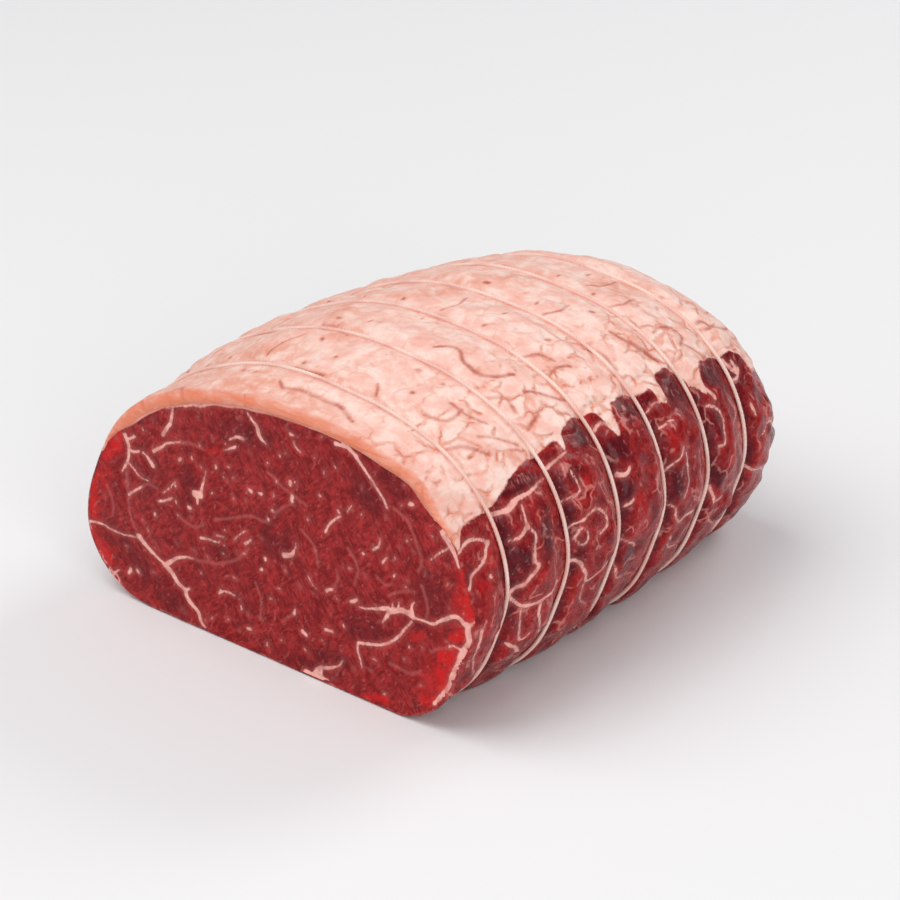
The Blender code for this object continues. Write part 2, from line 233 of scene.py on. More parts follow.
# Strips of the same red along the rim of the cut face, drawn like the seams
FACE_RED = (
    (2.0, 2.8, (60.2, 51.5), (60.8, 47), (61.0, 42)), (2.6, 4.4, (61.0, 42), (61.3, 38), (62.0, 35)),
    (2.2, 3.0, (56.5, 27.2), (60.2, 29.6)), (3.0, 4.0, (57.4, 23.8), (55.8, 20.5)),
    (3.0, 3.6, (54.0, 22), (53.2, 16.5), (53.4, 12.5)), (2.0, 2.6, (47.5, 7.4), (51.3, 8.6)),
    (1.4, 1.8, (29, 1.6), (36, 3)), (2.0, 4.2, (-52.8, 47.5), (-54.2, 42.5)),
    (1.6, 2.0, (-56, 40.5), (-58.5, 38)), (1.2, 1.8, (-61, 33), (-62.5, 28.5)),
    (1.8, 3.0, (-62.6, 28), (-63.5, 23.5), (-63.6, 20.5)),
    (2.6, 4.0, (-64.5, 15.5), (-62, 12), (-59, 9)),
)
# Darker muscle on the cut face, laid out the same way
FACE_DARK = (
    (-48, 12, 9, 4, -38), (-43, 34, 2.2, 6, -5), (-38, 6, 8, 3.5, -30), (-56, 15.2, 8, 1.2, 3),
    (18, 8, 7, 3.0, 10), (-18, 24.5, 6, 1.8, -12), (-10, 60, 10, 3.5, 8), (50, 37, 5, 6, 0),
    (30, 21, 7, 4, 15), (-44, 55, 4, 3, 35), (30, 57, 6, 4, -40), (38, 62, 6, 3.0, -30),
    (0, 35, 5, 7, 10), (12, 3, 9, 2, 0), (-16, 57, 2.5, 1.2, 20), (47, 27, 3.5, 0.7, -5),
    (54, 31.2, 3.5, 0.7, 25), (40, 27.6, 3.5, 0.6, 5), (-29, 40, 2.0, 6, 0),
)

# Seams on the right side: widths at both ends, then points of (distance, degrees)
SIDE_SEAMS = (
    (0.9, 1.3, (-70, 12.5), (-64.5, 14.5), (-60, 13.3)),
    (1.1, 0.8, (-60, 13), (-64, 9), (-67, 7), (-70, 4)),
    (1.2, 1.2, (-63.2, 5.6), (-62.8, 5.2)),
    (1.3, 0.8, (-50, 18.5), (-44, 18.6), (-38, 19.3)),
    (0.7, 1.6, (-55, 11), (-52, 11), (-49, 12.5)),
    (0.8, 1.4, (-48.8, 17), (-49, 12.5), (-47.8, 10), (-48, 8), (-49.5, 5), (-48, 3), (-51, 1.5), (-56, -0.5)),
    (1.2, 1.4, (-56, -1), (-54, -4), (-50, -6.3), (-46, -6.3), (-42, -5.8), (-39, -4.5)),
    (1.0, 0.8, (-52, -7), (-51.5, -12), (-50, -15), (-47, -14)),
    (0.8, 0.8, (-36, 13), (-31, 13.3), (-31, 18)),
    (0.8, 1.0, (-35, 7), (-31, 7.5)),
    (0.8, 0.8, (-34.4, 4), (-32.5, 6), (-30.6, 4), (-32.5, 2), (-34.4, 4)),
    (0.9, 0.9, (-30, 8), (-27, 8.5), (-24, 6), (-24.5, 4), (-27, 3)),
    (1.2, 0.9, (-36, -0.8), (-33, -2), (-31, -5), (-29.5, -8), (-26, -7), (-21, -5)),
    (1.6, 1.2, (-15, 12), (-13, 11.4), (-11, 12.5)),
    (0.9, 0.9, (-15, 5), (-12, 5.5)),
    (0.8, 1.1, (-16, -3), (-13, -4), (-9, -6.5), (-7.5, -8)),
    (1.0, 0.8, (6, 16.5), (11.5, 16.8)),
    (0.9, 0.9, (4, 7), (9, 9), (11, 10.5)),
    (0.9, 0.9, (12, 9), (13, 4), (13, 1), (10, -1)),
    (0.8, 1.2, (5, -1.5), (7, -3), (9, -6), (11, -8), (15, -7.5), (22, -7)),
    (1.0, 0.9, (27, 16), (30, 15), (32, 12), (31.5, 9), (29, 6.5), (27, 6)),
    (1.2, 1.0, (25, -4), (27, -7), (29, -9.5), (33, -9)),
    (1.6, 1.0, (49, 11), (50, 8)),
    (1.1, 0.9, (45, -6), (50, -8), (56, -11), (65, -20)),
    (1.6, 1.3, (45, 24), (47, 21), (49, 20), (48.2, 23)),
    (1.4, 1.0, (-53, -16), (-49, -19), (-45, -24), (-40, -26)),
    (1.4, 1.9, (-57, 18.6), (-53.5, 17.6), (-50.5, 18.2)), (0.8, 1.2, (-29, 22), (-33, 21.3), (-36.5, 20.8)),
    (0.9, 1.4, (-16, 22.5), (-13, 23.4), (-10.5, 21.5)), (0.8, 1.0, (5, 21), (8, 21.8), (13, 22)),
    (1.0, 1.8, (25, 22), (28.5, 20), (31, 17)), (0.9, 1.6, (44.5, 19), (48, 18.6), (50.5, 20.5)),
    (1.2, 0.8, (-46, -7), (-45, -12), (-43, -16), (-42, -22)),
    (1.0, 0.8, (-30, -9), (-28, -14), (-24, -17)), (1.0, 0.8, (-14, -12), (-11, -16), (-5, -18)),
    (1.0, 0.8, (10, -12), (13, -17), (19, -19)), (1.0, 0.8, (30, -14), (34, -18), (40, -20)),
    (1.2, 0.8, (-68, -6), (-66, -14), (-62, -22)), (0.8, 0.8, (52, 2), (57, 4), (61, 0), (66, 2)),
)
# Pale film and orange streaks on the side, the upright film bands just before each string being painted sheen:
# distance, degrees, reach in mm across and up, tilt
SIDE_FILM_AND_SHEEN = (
    (-53.5, 17.4, 3.4, 1.0, -8), (-41, -8, 1.4, 16, 0), (-21, 4, 1.4, 14, 0), (-1, 0, 1.4, 16, 0),
    (19, 2, 1.4, 16, 0), (39.5, 0, 1.5, 18, 0), (-61, -4, 1.5, 14, -8), (60, 12, 4, 1.6, -30),
    (-33, 19, 2.4, 1.2, 30), (55, -3, 3, 6, 20), (-31, 22.5, 0.9, 2.4, 0), (-44, 21, 5, 0.8, -8),
)
SIDE_BRIGHT = (
    (-52, -19, 2.2, 8, 12), (-33, -8, 2.0, 5, -20), (-61, 9, 1.6, 6, 20), (-46, 2, 3, 4, 0),
    (-27, 14, 3, 4, 10), (-10, 0, 3, 7, 0), (9, 12, 3.5, 5, 0), (28, -6, 2.4, 4, 0), (49, -4, 2, 8, 0),
    (8, -14, 3, 6, 0), (53, 6, 3, 3.5, 0), (-66, 0, 2.5, 10, 0), (32, 2, 4, 6, 0), (-30, -14, 3, 5, 0),
)
# Dark muscle on the side; the patches just behind each string are painted shade in the hollows there
SIDE_DARK_AND_SHADE = (
    (-48, 21, 8, 2.0, -8), (-53, 6, 3.5, 4.0, 0), (-22, 23, 3.5, 3.0, 0), (-2, 24, 4, 3.2, 0),
    (18, 22, 4, 5.5, 0), (36, 22, 6, 3.5, 0), (48, 20, 4.5, 5, 0), (6, 23.5, 2.2, 1.8, 0),
    (-44, 8, 2.5, 4.5, 0), (-34, 0, 2.4, 4, 0), (-12, 17, 3, 3, 0), (-14, 8, 3, 3, 0), (7, 3, 3, 4, 0),
    (29, 11, 2.2, 3.6, 0), (-30, 17, 2.5, 2, 0), (27, -1, 2.5, 3, 0), (58, -4, 3, 9, 10), (-9, -9, 3, 4, 0),
)
# Edge of the fat on the right, which runs out in tongues and is bitten into by the meat
FAT_BORDER = (
    (-76, 12), (-70, 13), (-66, 18), (-57, 20), (-50, 22.5), (-45, 23.5), (-38, 24.3), (-31, 25.2),
    (-30, 22.8), (-28.6, 22.4), (-28.0, 25.4), (-22, 26.6), (-17, 26.5), (-13, 26.2), (-11.6, 22.5),
    (-10.3, 19.6), (-8.8, 21.5), (-7.2, 25.8), (-3, 27.4), (2, 27), (3.4, 25.6), (8.2, 25.6), (9.8, 22.4),
    (11.8, 20.6), (13.2, 22.6), (14.6, 27.2), (18, 28.6), (21.5, 28.2), (24, 25.4), (25.8, 19.8),
    (27.4, 18.4), (28.8, 20.4), (30.4, 24.4), (34, 26.3), (42, 26), (44, 25), (49, 25.3), (53.5, 22.5), (56, 18), (60, 19),
    (66, 17), (76, 14),
)
# Veins in the fat, and a line of painted shade along the crease just behind the first string, drawn on the same map
FAT_VEINS_AND_SHADE = (
    (0.5, 0.7, (-62.5, 97), (-63.8, 93), (-63.7, 88), (-63.3, 82), (-63.8, 75), (-63.5, 66), (-66, 57)),
    # The first of these is painted shade along the crease just behind the first string
    (0.3, 0.6, (-55.9, 122), (-56.1, 108), (-55.8, 95), (-55.7, 84)), (0.3, 0.3, (-35.4, 112), (-35.6, 103)),
    (0.5, 0.4, (-52, 65), (-55, 62)),
    (0.6, 0.5, (-53, 47), (-52, 43), (-49, 41.5), (-44.5, 42.5)),
    (0.4, 0.4, (-45, 46), (-45, 40), (-43, 36)),
    (0.7, 0.9, (-32, 65), (-29, 62), (-28.5, 59), (-31, 55), (-32, 49), (-30, 46), (-27, 44.5), (-25, 44)),
    (0.8, 0.6, (-27, 37.5), (-24, 36.5), (-20, 33.5), (-17, 32)),
    (0.4, 0.4, (-34.5, 30), (-29.5, 31.5)),
    (0.6, 0.5, (-16, 40), (-9, 39.5), (-8, 38.5)),
    (0.9, 1.3, (14, 43), (14.5, 40), (16.5, 36.5), (19, 32), (20, 30.5)),
    (0.6, 0.6, (27, 38), (31, 38), (34, 37), (35, 34), (32, 31.5)),
    (0.5, 0.5, (33, 32), (36, 29), (37, 26.5)),
    (0.8, 0.7, (46, 36), (49, 35.5), (50, 33.5), (47, 33.5)),
    (0.6, 0.5, (50, 34), (57, 31.5), (63, 30.5)),
    (0.5, 0.5, (-37, 42), (-33, 39), (-34, 35)), (0.4, 0.5, (-48, 34), (-43, 31), (-40, 28)),
    (0.5, 0.4, (-16, 48), (-12, 46), (-10, 42)), (0.4, 0.4, (2, 42), (5, 38), (5, 33)),
    (0.5, 0.4, (-56, 36), (-52, 33), (-49, 29)), (0.4, 0.4, (-24, 30), (-21, 28)),
    (0.5, 0.4, (24, 52), (29, 50), (35, 51)), (0.4, 0.4, (4, 60), (9, 57), (14, 58)),
    (0.4, 0.4, (-13, 84), (-8, 82), (-3, 84)), (0.4, 0.4, (30, 66), (35, 63), (41, 64)),
)
# Red-brown spots in the fat: distance, degrees, width
FAT_SPOTS = (
    (8.5, 88.5, 1.6), (27.5, 77, 0.9), (-5, 65, 0.9), (-5.5, 48.5, 1.1), (16.5, 51.5, 1.1), (-41, 61, 1.1),
    (-13, 102, 1.2), (-35.8, 105, 1.1), (-44, 101, 1.2), (-48.5, 88, 0.9), (-53, 144, 1.0), (-12.5, 65, 0.9),
    (8.5, 65, 0.9), (-49, 55, 0.9), (-41, 52.5, 0.8), (33, 53, 0.9), (37.5, 73, 1.0), (27, 60, 0.8),
    (-25, 44, 1.2), (-30, 96, 0.8), (-20, 84, 0.7), (2, 98, 0.8), (-60, 118, 0.9), (44, 60, 0.8),
)
# Tanned patches of the fat: distance, degrees, reach in mm across and up, tilt; the narrow one at -56 is painted
# shade along the crease just behind the first string
FAT_TAN_AND_SHADE = (
    (-53, 126, 4.5, 26, 0), (-66, 100, 3, 40, 0), (-38, 100, 5, 8, 0), (-25, 112, 9, 7, 0),
    (0, 96, 12, 8, 0), (38, 62, 10, 10, 0), (20, 84, 9, 8, 0), (18, 40, 4, 6, -30), (-56, 78, 1.2, 22, 0),
)

# What the "side" attribute says of a point
BARE_SIDE, CUT_FACE, FAR_END, FRONT_CUT, BACK_CUT, FAT_UNDERSIDE = range(6)

# Rows, points and noise
SLOPE_STEP = 0.02           # radians between the places that give the surface's direction
EDGE_ROWS = 5               # over the rounded front edge
END_EXTRA_ROWS = 6          # over the far end, on top of the usual spacing
STAGGER = 0.866             # rows of dots in a triangular pattern
RING_MARGIN = 0.55          # of the dots' spacing, kept free inside a ring
FAR_END_DETAIL = 1.3
NOISE_CELLS = 32
NOISE_START = 100.0         # keeps the cells' numbers positive

# The meat. Angles in degrees round the core, lengths in millimetres
RIM = 0.7                   # radius of the rim between the cut face and the sides
OVERLAP = 0.5               # how far the meat runs up into the fat's underside
BARE_SIDES = (-52.0, 230.0)     # where the bare sides meet the underside
STEP_TURN = 0.02            # how far inside the fat's edges the columns change, in radians
RIGHT_RUN, LEFT_RUN = 92, 66    # lengths across the bare sides, for the number of columns
LEFT_COARSER = 1.3          # spacing on the side that the photo doesn't show
COVERED_COLUMNS = 30
UNDERSIDE_COLUMNS = 22
FACE_FAT = (13, 176)        # where the fat's band starts and ends on the cut face
PALE_LINE = 0.85            # how far pale fat shows inside the cut band on the face
FAR_STRETCH = 1.22          # the far end is smaller than the cut face whose marks it shows
SIDE_BRIGHTNESS = 0.36

# The fat
FAT_LIP = 0.6               # radius of the edge where the fat is cut
FAT_SPILL = 1.8             # how far the fat's thin edge runs over the meat
FAT_SINK = 1.1              # how deep that edge goes in
FAT_RUN = 162               # length across, for the number of columns
LEAST_DEPTH = 1.3           # of the underside, away from the edges
UNDERSIDE_GRID = (np.arange(-66.0, 64.0, 4.0), np.linspace(0.03, 0.97, 36))
STRIP_ROWS = 7
CUT_BULGE = 0.45            # how far the cut fat swells at the front
CUT_FADE = 1.5              # how far from the cut its colour fades into the skin
VEIN_SPREAD = 0.10          # added to each side of a drawn vein

# Marks: how far their distances are followed, and how they sway
NO_LINE = 2.5               # distance that stands for no stroke nearby
COVER_LIMIT = 6.0           # the same for the fat's border
WIDEST_STROKE = 4.0
PATCH_FALL = 0.7
SWAYS = ((2.4, (1, 2)), (9.0, (3, 4)))      # size of the noise, seeds

# Low relief: size, height and seed of each layer
FACE_RELIEF = ((13.0, 0.28, 21), (3.2, 0.10, 22))
MEAT_RELIEF = ((10.0, 0.85, 23), (4.5, 0.60, 24), (2.0, 0.25, 25))
FAT_RELIEF = ((11.0, 0.38, 41), (4.5, 0.40, 42), (2.0, 0.14, 43))

# The string
TWINE_SIDES = 12
TWINE_STRANDS = 3
TWINE_LOBE = 0.13
TWINE_STEPS = 12
PATH_POINTS = 240
STRING_SWAY = 0.16          # sideways, for each of three waves
STRING_LOWEST = 0.85        # height of its middle under the meat

# Camera, floor and light
CAMERA_PLACE = (594.608, -688.413, 484.633)     # from the source's frame, in millimetres
CAMERA_OFFSET = 8.05472     # the source frame's zero, in the frame that the camera was found in
CAMERA_TURN = 40.693        # degrees round from the cut face
CAMERA_RISE = 26.279
CAMERA_LENS = 160.0         # on a 36 mm sensor
FLOOR_SIZE = 6.0
WORLD_STRENGTH = 0.30
LIGHTS = (
    ("key", 12.0, 1.2, (-0.42, -0.48, 1.18), (1.0, 0.985, 0.97)),
    ("fill", 7.3, 0.9, (1.0, -0.7, 0.6), (1.0, 1.0, 1.0)),
    ("rim", 5.0, 0.6, (0.2, 1.0, 0.8), (1.0, 1.0, 1.0)),
)
NUMBER, COLOUR = "NodeSocketFloat", "NodeSocketColor"


def smooth(value):
    """Eased step from 0 to 1."""
    value = np.clip(value, 0.0, 1.0)
    return value * value * (3.0 - 2.0 * value)


def hump(value, width):
    """Bell curve, 1 where the value is 0."""
    return np.exp(-((value / width) ** 2))


def through(knots, place):
    """Smooth curve through knots of (place, value), read at many places."""
    knots = np.asarray(knots, float)
    spots, values = knots[:, 0], knots[:, 1]
    last = len(spots) - 1
    i = np.clip(np.searchsorted(spots, place, side="left") - 1, 0, last - 1)
    before, after = np.maximum(i - 1, 0), np.minimum(i + 2, last)
    width = spots[i + 1] - spots[i]
    share = np.clip((place - spots[i]) / width, 0.0, 1.0)
    slope_in = (values[i + 1] - values[before]) / (spots[i + 1] - spots[before]) * width
    slope_out = (values[after] - values[i]) / (spots[after] - spots[i]) * width
    rise = values[i + 1] - values[i]
    cubic = slope_in + slope_out - 2.0 * rise
    square = 3.0 * rise - 2.0 * slope_in - slope_out
    return values[i] + share * (slope_in + share * (square + share * cubic))


def polar_knots(outline):
    """Angle and distance of an outline's points round the core, with both ends repeated."""
    knots = sorted((math.atan2(z - CORE_HEIGHT, x) % TAU, math.hypot(x, z - CORE_HEIGHT))
                   for x, z in outline)
    back = [(angle - TAU, radius) for angle, radius in knots[-2:]]
    return back + knots + [(angle + TAU, radius) for angle, radius in knots[:2]]


LOOP_KNOTS = polar_knots(LOOP_OUTLINE)
FACE_KNOTS = polar_knots(FACE_OUTLINE)
SIZE_PLACES = [FACE_Y, *LOOP_PLACES, END_Y]
WIDTH_KNOTS = [(y, size[0]) for y, size in zip(SIZE_PLACES, LOOP_SIZES)]
HEIGHT_KNOTS = [(y, size[1]) for y, size in zip(SIZE_PLACES, LOOP_SIZES)]
CREST_DRAW = random.Random(BULGE_SEED)
CREST_CHANGES = np.array([CREST_DRAW.uniform(-1.0, 1.0) * BULGE_UNEVEN for _ in range(STRING_COUNT + 1)])


def loop_line(y, angle):
    """Point (x, z) of the line that a string would follow at this place."""
    radius = through(LOOP_KNOTS, angle % TAU)
    x = radius * np.cos(angle) * through(WIDTH_KNOTS, y) / LOOP_WIDTH
    z = CORE_HEIGHT + radius * np.sin(angle)
    z = UNDER_STRING + (z - UNDER_STRING) * through(HEIGHT_KNOTS, y) / LOOP_HEIGHT
    face = 1.0 - smooth((y - FACE_Y) / FIRST_STRING)
    face_radius = through(FACE_KNOTS, angle % TAU)
    x = x + face * (face_radius * np.cos(angle) - x)
    z = z + face * (CORE_HEIGHT + face_radius * np.sin(angle) - z)
    return x, np.maximum(z, UNDER_STRING * (1.0 - face))


def wavy_edge(y, knots):
    """Angle of one side edge of the fat, which swings out and in with the strings."""
    wave = np.sin(TAU * (y - FACE_Y - FIRST_STRING) / STRING_SPACING)
    return np.radians(through(knots, y - FACE_Y) + SCALLOP * wave)


def right_edge(y):
    return wavy_edge(y, RIGHT_EDGE)


def left_edge(y):
    return wavy_edge(y, LEFT_EDGE)


def inside_fat(y, turn):
    """Angle between a place and the nearer side edge of the fat, negative on bare meat."""
    return np.minimum(turn - right_edge(y), left_edge(y) - turn)


def fat_margin(y, turn):
    """The same in millimetres along the skin."""
    return inside_fat(y, turn) * LOOP_WIDTH / 2


def surface_rise(y, angle):
    """Height of the skin above the loop line: a groove under each string, crests between."""
    fat_share = smooth(0.5 + inside_fat(y, angle % TAU) / math.radians(BULGE_BLEND))
    bay = np.searchsorted(LOOP_PLACES, y, side="left")
    bare = BULGE_BARE + CREST_CHANGES[bay]
    foot, lowest, full = UNDER_DIP
    height = loop_line(y, angle)[1]
    dip = smooth((height - foot) / (lowest - foot)) * (1.0 - smooth((height - lowest) / (full - lowest)))
    bare = bare + np.where(bay < STRING_COUNT, (BULGE_UNDER - bare) * dip, 0.0)
    lump = LUMP * np.sin(LUMP_TURNS[0] * angle + y / LUMP_LENGTHS[0])
    lump = lump * np.cos(LUMP_TURNS[1] * angle - y / LUMP_LENGTHS[1])
    crest = bare + (BULGE_FAT - bare) * fat_share + lump
    nearest = np.abs(y[..., None] - LOOP_PLACES).min(-1)
    pillow = 1.0 - np.exp(-((nearest / GROOVE_REACH) ** GROOVE_POWER))
    face = 1.0 - smooth((y - FACE_Y) / FIRST_STRING)
    return -STRING_LIFT * (1.0 - pillow) + crest * pillow * (1.0 - face)


def skin(y, angle, depth=0.0):
    """Points of the roast's surface, or of a layer below it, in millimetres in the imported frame."""
    y, angle = np.broadcast_arrays(np.asarray(y, float), np.asarray(angle, float))
    x, z = loop_line(y, angle)
    x0, z0 = loop_line(y, angle - SLOPE_STEP)
    x1, z1 = loop_line(y, angle + SLOPE_STEP)
    size = np.hypot(x1 - x0, z1 - z0)
    out_x, out_z = (z1 - z0) / size, (x0 - x1) / size
    rise = surface_rise(y, angle)
    x = x + out_x * rise
    z = np.maximum(z + out_z * rise, 0.0)
    x, z = x - out_x * depth, z - out_z * depth
    share = np.clip((y - (END_Y - END_ROUND_LENGTH)) / END_ROUND_LENGTH, 0.0, 1.0)
    inset = END_ROUND_DEPTH * (1.0 - np.sqrt(1.0 - share * share))
    scale = 1.0 - 2.0 * inset / LOOP_WIDTH
    z = CORE_HEIGHT + (z - CORE_HEIGHT) * scale
    lean = END_LEAN * np.clip((y - LOOP_PLACES[-1]) / (END_Y - LOOP_PLACES[-1]), 0.0, None)
    return np.stack([x * scale, y + SHIFT_Y + lean * (CORE_HEIGHT - z), z], -1)


def fat_depth(y, angle):
    """Thickness of the fat at a place."""
    return FAT_EDGE + (FAT_THICKNESS - FAT_EDGE) * smooth(fat_margin(y, angle) / FAT_TAPER)


def edge_depth(y, radius):
    """How far the rounding of the front edge draws the surface in."""
    share = np.clip((y - FACE_Y) / radius, 0.0, 1.0)
    return radius * (1.0 - np.sqrt(np.clip(1.0 - (1.0 - share) ** 2, 0.0, 1.0)))


def rows_along(radius, spacing):
    """Places along the roast: close together over the rounded front edge and the far end."""
    quarter = math.pi / 2
    edge = FACE_Y + radius * (1.0 - np.cos(np.linspace(0.0, quarter, EDGE_ROWS)))
    rest = np.arange(edge[-1] + spacing, END_Y - END_ROUND_LENGTH, spacing)
    arc = np.linspace(0.0, quarter, int(END_ROUND_LENGTH / spacing) + END_EXTRA_ROWS)[1:]
    return np.r_[edge, rest, END_Y - END_ROUND_LENGTH + END_ROUND_LENGTH * np.sin(arc)]


def lumps(points, size, seed):
    """Smooth seeded noise from -1 to 1 at points, with features of about this size."""
    table = np.random.default_rng(seed).uniform(-1.0, 1.0, (NOISE_CELLS,) * 3)
    place = np.asarray(points) / size + NOISE_START
    cell = np.floor(place).astype(int)
    part = smooth(place - cell)
    total = 0.0
    for corner in np.ndindex(2, 2, 2):
        weight = np.prod(np.where(corner, part, 1.0 - part), -1)
        i, j, k = ((cell + corner) % NOISE_CELLS).T
        total = total + weight * table[i, j, k]
    return total


def layered(points, layers):
    """Noise of several sizes on top of each other."""
    return sum(height * lumps(points, size, seed) for size, height, seed in layers)


def sways(points):
    """Fine and wide sideways sway, so that drawn marks don't look ruled."""
    return [np.stack([lumps(points, size, seed) for seed in seeds], -1) for size, seeds in SWAYS]


def rounded(points):
    """The same line with more points, so that it bends smoothly."""
    points = np.asarray(points, float)
    if len(points) < 3:
        return points
    steps = np.r_[0.0, np.cumsum(np.hypot(*np.diff(points, axis=0).T))]
    places = np.linspace(0.0, steps[-1], 4 * len(points))
    return np.stack([through(np.c_[steps, points[:, i]], places) for i in (0, 1)], -1)


def line_distance(places, strokes, scale=(1.0, 1.0), limit=NO_LINE):
    """Distance in mm from the edge of the nearest drawn stroke, negative inside it."""
    nearest = np.full(len(places), limit)
    reach = limit + WIDEST_STROKE / 2
    for start_width, end_width, *points in strokes:
        line = rounded(np.array(points) * scale)
        near = np.flatnonzero(((places > line.min(0) - reach) & (places < line.max(0) + reach)).all(1))
        widths = np.linspace(start_width, end_width, len(line))
        spots = places[near]
        for a, b, wide_a, wide_b in zip(line, line[1:], widths, widths[1:]):
            run = b - a
            share = np.clip((spots - a) @ run / max(run @ run, 1e-9), 0.0, 1.0)
            gap = np.hypot(*(spots - a - share[:, None] * run).T) - (wide_a + (wide_b - wide_a) * share) / 2
            nearest[near] = np.minimum(nearest[near], gap)
    return nearest


def flecks_as_strokes(flecks, seed, unit=1.0):
    """Each fleck as a very short stroke, lying any way."""
    draw = random.Random(seed)
    strokes = []
    for a, b, width in flecks:
        turn, half = draw.uniform(0.0, TAU), width * draw.uniform(0.15, 0.5)
        da, db = half * math.cos(turn), half * math.sin(turn) / unit
        strokes.append((width * 0.9, width * 0.7, (a - da, b - db), (a + da, b + db)))
    return tuple(strokes)


def scattered_flecks(count, seed):
    """Small flecks strewn over the cut face, between the drawn ones."""
    draw = random.Random(seed)
    return tuple((draw.uniform(-62, 62), draw.uniform(2, 70), draw.uniform(0.30, 0.80)) for _ in range(count))


def patches(places, spots, scale=(1.0, 1.0)):
    """Soft oval patches, 1 at the middle of each and 0 well outside."""
    total = np.zeros(len(places))
    for a, b, reach_a, reach_b, tilt in spots:
        da, db = (places - np.array((a, b)) * scale).T
        c, s = math.cos(math.radians(tilt)), math.sin(math.radians(tilt))
        far = ((da * c + db * s) / reach_a) ** 2 + ((db * c - da * s) / reach_b) ** 2
        total = np.maximum(total, np.exp(-far * far * PATCH_FALL))
    return total


def border_distance(places):
    """Distance inside the fat's right edge in mm, negative on the bare meat."""
    line = rounded(np.array(FAT_BORDER) * SIDE_UNIT)
    inside = places[:, 1] - np.interp(places[:, 0], line[:, 0], line[:, 1])
    gap = line_distance(places, [(0.0, 0.0, a, b) for a, b in zip(line, line[1:])], limit=COVER_LIMIT)
    return np.where(inside > 0.0, 1.0, -1.0) * np.minimum(gap, np.abs(inside))


def side_map(along, turn):
    """Places on the side map, and which of them lie left of the top.

    The left side shows the right one's marks, two bays further on."""
    turn = (turn + math.pi / 2) % TAU - math.pi / 2
    y = along + MAP_ZERO + FACE_Y
    left = turn > math.pi / 2
    length = STRING_COUNT * STRING_SPACING
    moved = (along + 2 * STRING_SPACING + MAP_ZERO - FIRST_STRING) % length + FIRST_STRING - MAP_ZERO
    mirrored = right_edge(moved + MAP_ZERO + FACE_Y) + left_edge(y) - turn
    return np.stack([np.where(left, moved, along),
                     np.degrees(np.where(left, mirrored, turn)) * MM_PER_DEGREE], -1), left


def side_marks(places):
    """The marks that both the bare side and the fat's thin edge over it can show."""
    return {"seam": line_distance(places, SIDE_SEAMS, SIDE_UNIT),
            "bright": SIDE_BRIGHTNESS * patches(places, SIDE_BRIGHT, SIDE_UNIT),
            "dark": patches(places, SIDE_DARK_AND_SHADE, SIDE_UNIT),
            "film": patches(places, SIDE_FILM_AND_SHEEN, SIDE_UNIT)}


# Modelling helpers

def clear_selection():
    if bpy.context.object and bpy.context.object.mode != "OBJECT":
        bpy.ops.object.mode_set(mode="OBJECT")
    bpy.ops.object.select_all(action="DESELECT")


def put(mesh, **marks):
    """Stores marks as attributes of a mesh's points, one value for each or one for all."""
    for name, values in marks.items():
        if name not in mesh.attributes:
            mesh.attributes.new(name, "FLOAT", "POINT")
        values = np.broadcast_to(np.asarray(values, np.float32), len(mesh.vertices))
        mesh.attributes[name].data.foreach_set("value", np.ascontiguousarray(values))


def get(mesh, *names):
    for name in names:
        values = np.zeros(len(mesh.vertices), np.float32)
        mesh.attributes[name].data.foreach_get("value", values)
        yield values.astype(float)


def read_vectors(items, name):
    values = np.zeros(3 * len(items), np.float32)
    items.foreach_get(name, values)
    return values.reshape(-1, 3).astype(float)


def positions(mesh):
    return read_vectors(mesh.vertices, "co") / MM


def normals(mesh):
    return read_vectors(mesh.vertex_normals, "vector")


def place_points(mesh, points):
    mesh.vertices.foreach_set("co", (np.asarray(points, np.float32) * MM).ravel())
    mesh.update()


def wrapped_grid(name, rows, columns, points_at, side):
    """A grid primitive bent round the roast: points_at gives points, distances, angles, cut."""
    clear_selection()
    bpy.ops.mesh.primitive_grid_add(x_subdivisions=columns, y_subdivisions=rows, size=2.0)
    sheet = bpy.context.object
    sheet.name = name
    flat = positions(sheet.data) * MM
    row = np.rint((flat[:, 1] + 1.0) / 2.0 * rows).astype(int)
    column = np.rint((flat[:, 0] + 1.0) / 2.0 * columns).astype(int)
    points, along, turn, cut = points_at(row, column)
    place_points(sheet.data, points)
    put(sheet.data, along=along, turn=turn, side=side, cut=cut)
    return sheet


def filled_patch(name, ring, inner, to_points, side, cut):
    """Triangles over a closed ring with chosen points inside, both given on a flat map."""
    flat = np.concatenate([ring, inner])
    faces = [list(range(len(ring)))]
    result = delaunay_2d_cdt([Vector(point) for point in flat], [], faces, 1, 1e-6)
    order = [origins[0] if origins else 0 for origins in result[3]]
    points, along, turn = to_points(flat[order], np.array(order))
    mesh = bpy.data.meshes.new(name)
    mesh.from_pydata((points * MM).tolist(), [], result[2])
    put(mesh, along=along, turn=turn, side=side, cut=cut)
    patch = bpy.data.objects.new(name, mesh)
    bpy.context.scene.collection.objects.link(patch)
    return patch


def dots_inside(ring, spacing, margin):
    """Staggered dots inside a ring that surrounds the core, on the (x, z) map."""
    low, high = ring.min(0), ring.max(0)
    xs = np.arange(low[0], high[0], spacing)
    zs = np.arange(low[1], high[1], spacing * STAGGER)
    x, z = np.meshgrid(xs, zs)
    x = x + (np.arange(len(zs)) % 2)[:, None] * spacing / 2
    dots = np.stack([x.ravel(), z.ravel()], -1)
    core = np.array((0.0, CORE_HEIGHT))
    turn = np.arctan2(*(ring - core)[:, ::-1].T)
    order = np.argsort(turn)
    reach = np.hypot(*(ring - core).T)[order]
    dot_turn = np.arctan2(*(dots - core)[:, ::-1].T)
    allowed = np.interp(dot_turn, turn[order], reach, period=TAU)
    return dots[np.hypot(*(dots - core).T) < allowed - margin]


